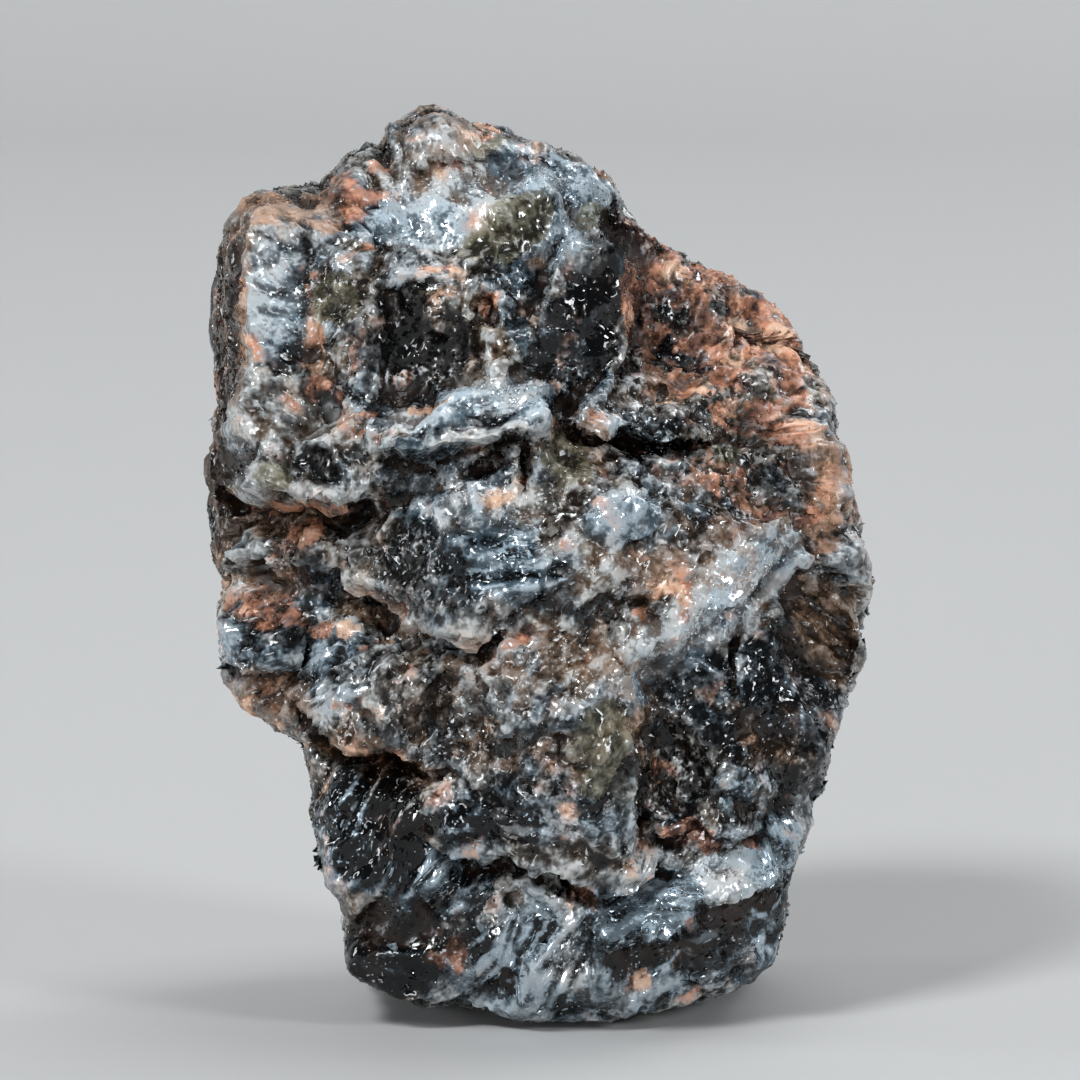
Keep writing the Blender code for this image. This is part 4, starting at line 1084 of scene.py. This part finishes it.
# random places for shards on the chosen squares: thick in clusters and where the stone is
# granular, thin where it is smooth, dark or hollow
def pickPlaces(places, quads, at, dice):
    a, b, c, d = (places[quads[:, n]] for n in range(4))
    crossed = np.cross(c - a, d - b)
    middles = (a + b + c + d) / 4.0
    clusters = layered(middles, grains["clusters"], 131)
    share = grains["between"] + smoothStep(*grains["clusterFrom"], clusters)
    for mark, less in grains["thin"].items():
        share *= 1.0 - less * at[mark]
    share *= (middles[:, 2] > grains["clear"]) * np.sqrt((crossed ** 2).sum(axis=1))
    count = grains["perPiece"]
    picked = dice.choice(len(quads), count, p=share / share.sum())
    one, two = dice.random((2, count, 1))
    spots = ((a[picked] * (1 - one) + b[picked] * one) * (1 - two)
             + (d[picked] * (1 - one) + c[picked] * one) * two)
    return picked, spots, unit(crossed[picked])


# half sizes, with a few larger crystals among the coarse ones, and how flat each shard is
def shardSizes(layer, crest, dice):
    count = len(crest)
    least, spread, most = grains[layer]
    size = np.minimum(least + spread * dice.exponential(1.0, count), most)
    low, high, large = grains["large"]
    isLarge = (dice.random(count) < large) & (layer == "coarse")
    size = np.where(isLarge, low + (high - low) * dice.random(count) ** 2, size)
    size = size * (1.0 - grains["edge"] * crest)
    return size[:, None], np.where(isLarge, grains["flatter"], 1.0)[:, None]


# each shard's five corners, from its place: four uneven ones sunk under the surface and a tip
# over it; shards lean at random, and are long where striae are strong
def shardCorners(out, size, flat, stria, acrossWay, dice):
    count = len(size)
    out = unit(out + flat * grains["lean"] * dice.normal(size=(count, 3)))
    right = 3.0 * stria * acrossWay + 0.5 * dice.normal(size=(count, 3))
    right = unit(np.cross(right, out))
    above = np.cross(out, right)
    longer, wider = (1.0 + stria * more for more in grains["stretch"])
    longer = np.clip(grains["longest"] / size, 1.0, longer)
    shape = []
    for corner in range(4):
        turn = dice.uniform(-grains["uneven"], grains["uneven"], (count, 1))
        angle = (corner + turn) * math.pi / 2.0
        reach = size * dice.uniform(*grains["reach"], (count, 1))
        shape.append(reach * (np.cos(angle) * longer * right + np.sin(angle) * wider * above)
                     - grains["sunk"] * size * out)
    rise = flat * dice.uniform(*grains["rise"], (count, 1))
    aside, over = dice.uniform(-grains["tip"], grains["tip"], (2, count, 1))
    shape.append(size * (rise * out + aside * right + over * above))
    return np.stack(shape, axis=1)


# how much lighter each shard is than the stone round it, and its tint; the light shards, more where striae
# are strong, are lighter crystals and partly painted glints
def shardTones(size, stria, dice):
    count = len(size)
    isBright = dice.random(count) < np.interp(stria, (0.2, 0.8), grains["bright"])
    lit = dice.normal(-0.02, 1.0, count) * np.where(size < grains["tiny"], *grains["toneSpread"])
    lit = lit * (1.0 - 0.4 * stria) + np.where(isBright, grains["brighter"], -0.04 * stria)
    return {"lit": lit + 0.3 * isBright * stria, "tint": dice.uniform(-1.0, 1.0, count),
            "single": np.ones(count)}


# crystal shards set into the surface: pyramids of six faces, each in the colour of its place
def makeGrains(name, layer, chosen, dice, material, places, corners, marks):
    quads = corners[chosen]
    at = {mark: values[quads].mean(axis=1) for mark, values in marks.items()}
    picked, spots, out = pickPlaces(places, quads, at, dice)
    at = {mark: values[picked] for mark, values in at.items()}
    count, stria = len(picked), at["stria"]
    size, flat = shardSizes(layer, at["crest"], dice)
    shape = shardCorners(out, size, flat, stria[:, None], at["acrossWay"], dice)
    points = (spots[:, None, :] + shape).reshape(-1, 3)
    pattern = np.array([(0, 1, 4), (1, 2, 4), (2, 3, 4), (3, 0, 4), (3, 2, 1), (3, 1, 0)])
    faces = (pattern[None] + 5 * np.arange(count)[:, None, None]).reshape(-1, 3)
    at.update(shardTones(size[:, 0], stria, dice))
    carried = {mark: np.repeat(values, 5, axis=0) for mark, values in at.items()}
    piece = addMesh(name, points * mm, faces, material, carried)
    spreadMap(piece.data, count)
    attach(piece, "root")
    print("carbonado:", count, "grains on", name)


# a map for the grains: each has a square of its own, cut into six, one for each face
def spreadMap(mesh, count):
    across = math.ceil(math.sqrt(count))
    number, face = np.arange(count), np.arange(6)
    low = np.stack([number % across, number // across], axis=1)
    part = np.stack([face % 3 / 3.0, face // 3 * 0.5], axis=1)
    shape = np.array([(0.03, 0.05), (0.3, 0.05), (0.165, 0.45)])
    places = (low[:, None, None, :] + part[None, :, None, :] + shape[None, None, :, :]) / across
    layer = mesh.uv_layers.new(name="OFBake")
    layer.uv.foreach_set("vector", places.astype(np.float32).ravel())


middle, stoneFinish, places, corners, marks = makeStone()
dice = np.random.default_rng(grains["seed"])
behind = places[corners].mean(axis=1)[:, 1] > 0.0
for name, layer, chosen in (("carbonadoFrontGrains", "coarse", ~behind),
                            ("carbonadoFineGrains", "fine", ~behind),
                            ("carbonadoBackGrains", "coarse", behind)):
    makeGrains(name, layer, chosen, dice, stoneFinish, places, corners, marks)

view = {
    "lens": 240.0,
    "distance": 94.2,           # mm from the heart's plane
    "aim": (0.03, 0.455),       # where the picture's centre falls on the face, from the heart
}


def makeCamera():
    target = standUp(np.array([[*view["aim"], view["distance"]]]))[0]
    lens = bpy.data.cameras.new("camera")
    lens.lens = view["lens"]
    lens.sensor_width = 36.0
    lens.clip_start = 0.002
    lens.clip_end = 20.0
    camera = addObject("camera", lens)
    camera.location = Vector(target - np.array([middle[0], middle[1], 0.0])) * mm
    camera.rotation_euler = (math.pi / 2.0 - math.radians(stone["lean"]), 0.0, 0.0)
    bpy.context.scene.camera = camera


studio = {
    "floorColour": (0.42, 0.417, 0.413),
    "worldColour": (0.5, 0.53, 0.58),
    "worldStrength": 0.2,
    "aim": (0.0, 0.0, 6.0),     # mm
    # name: place in mm, size in mm, watts, colour
    "lamps": {
        "key": ((-170, -230, 300), 95, 1.45, (0.95, 0.98, 1.0)),
        "right": ((290, -200, 150), 85, 0.75, (0.92, 0.96, 1.0)),
        "front": ((-120, -380, 30), 100, 0.65, (0.94, 0.97, 1.0)),
        "top": ((60, 60, 360), 150, 0.4, (0.97, 0.99, 1.0)),
        "left": ((-330, 30, 110), 80, 0.3, (0.92, 0.96, 1.0)),
        "back": ((200, 190, 230), 120, 0.35, (0.93, 0.96, 1.0)),
    },
    # the floor in mm: half width, near end, where it starts to bend up, bend's radius and top
    "floor": (500.0, -400.0, 170.0, 80.0, 600.0),
    "cloudSize": 30.0,          # mm across a slightly darker patch of floor
}


def makeStudio():
    bpy.context.scene.view_settings.view_transform = 'Standard'
    world = bpy.data.worlds.new("studio")
    bpy.context.scene.world = world
    world.use_nodes = True
    sky = world.node_tree.nodes["Background"]
    sky.inputs["Color"].default_value = (*studio["worldColour"], 1.0)
    sky.inputs["Strength"].default_value = studio["worldStrength"]
    for name, (place, size, watts, colour) in studio["lamps"].items():
        lamp = bpy.data.lights.new(name, 'AREA')
        lamp.size = size * mm
        lamp.energy = watts
        lamp.color = colour
        holder = addObject(name, lamp)
        holder.location = Vector(place) * mm
        aim = Vector(studio["aim"]) * mm - holder.location
        holder.rotation_euler = aim.to_track_quat('-Z', 'Y').to_euler()


# a floor that runs back and bends up into a wall, as one strip: depth and height along a path
def makeFloor():
    halfWidth, near, bend, radius, top = studio["floor"]
    turnsUp = np.linspace(0.0, math.pi / 2.0, 13)
    depth = np.concatenate([[near], bend + radius * np.sin(turnsUp), [bend + radius]])
    height = np.concatenate([[0.0], radius - radius * np.cos(turnsUp), [top]]) - 0.01
    places = np.concatenate([np.stack([np.full(len(depth), side), depth, height], axis=1)
                             for side in (-halfWidth, halfWidth)])
    first = np.arange(len(depth) - 1)
    far = first + len(depth)
    corners = np.stack([first, far, far + 1, first + 1], axis=1)
    board = Board("studio floor")
    tone = board.cloud(board.place(), studio["cloudSize"], 2.0)
    low = tuple(0.97 * part for part in studio["floorColour"])
    board.plug(board.shader.inputs["Base Color"], board.blend(tone, low, studio["floorColour"]))
    board.plug(board.shader.inputs["Roughness"], 0.6)
    floor = addMesh("studioFloor", places * mm, corners, board.material, {})
    floor.data.shade_smooth()


makeCamera()
makeStudio()
makeFloor()
print("carbonado: camera, lamps and floor set")
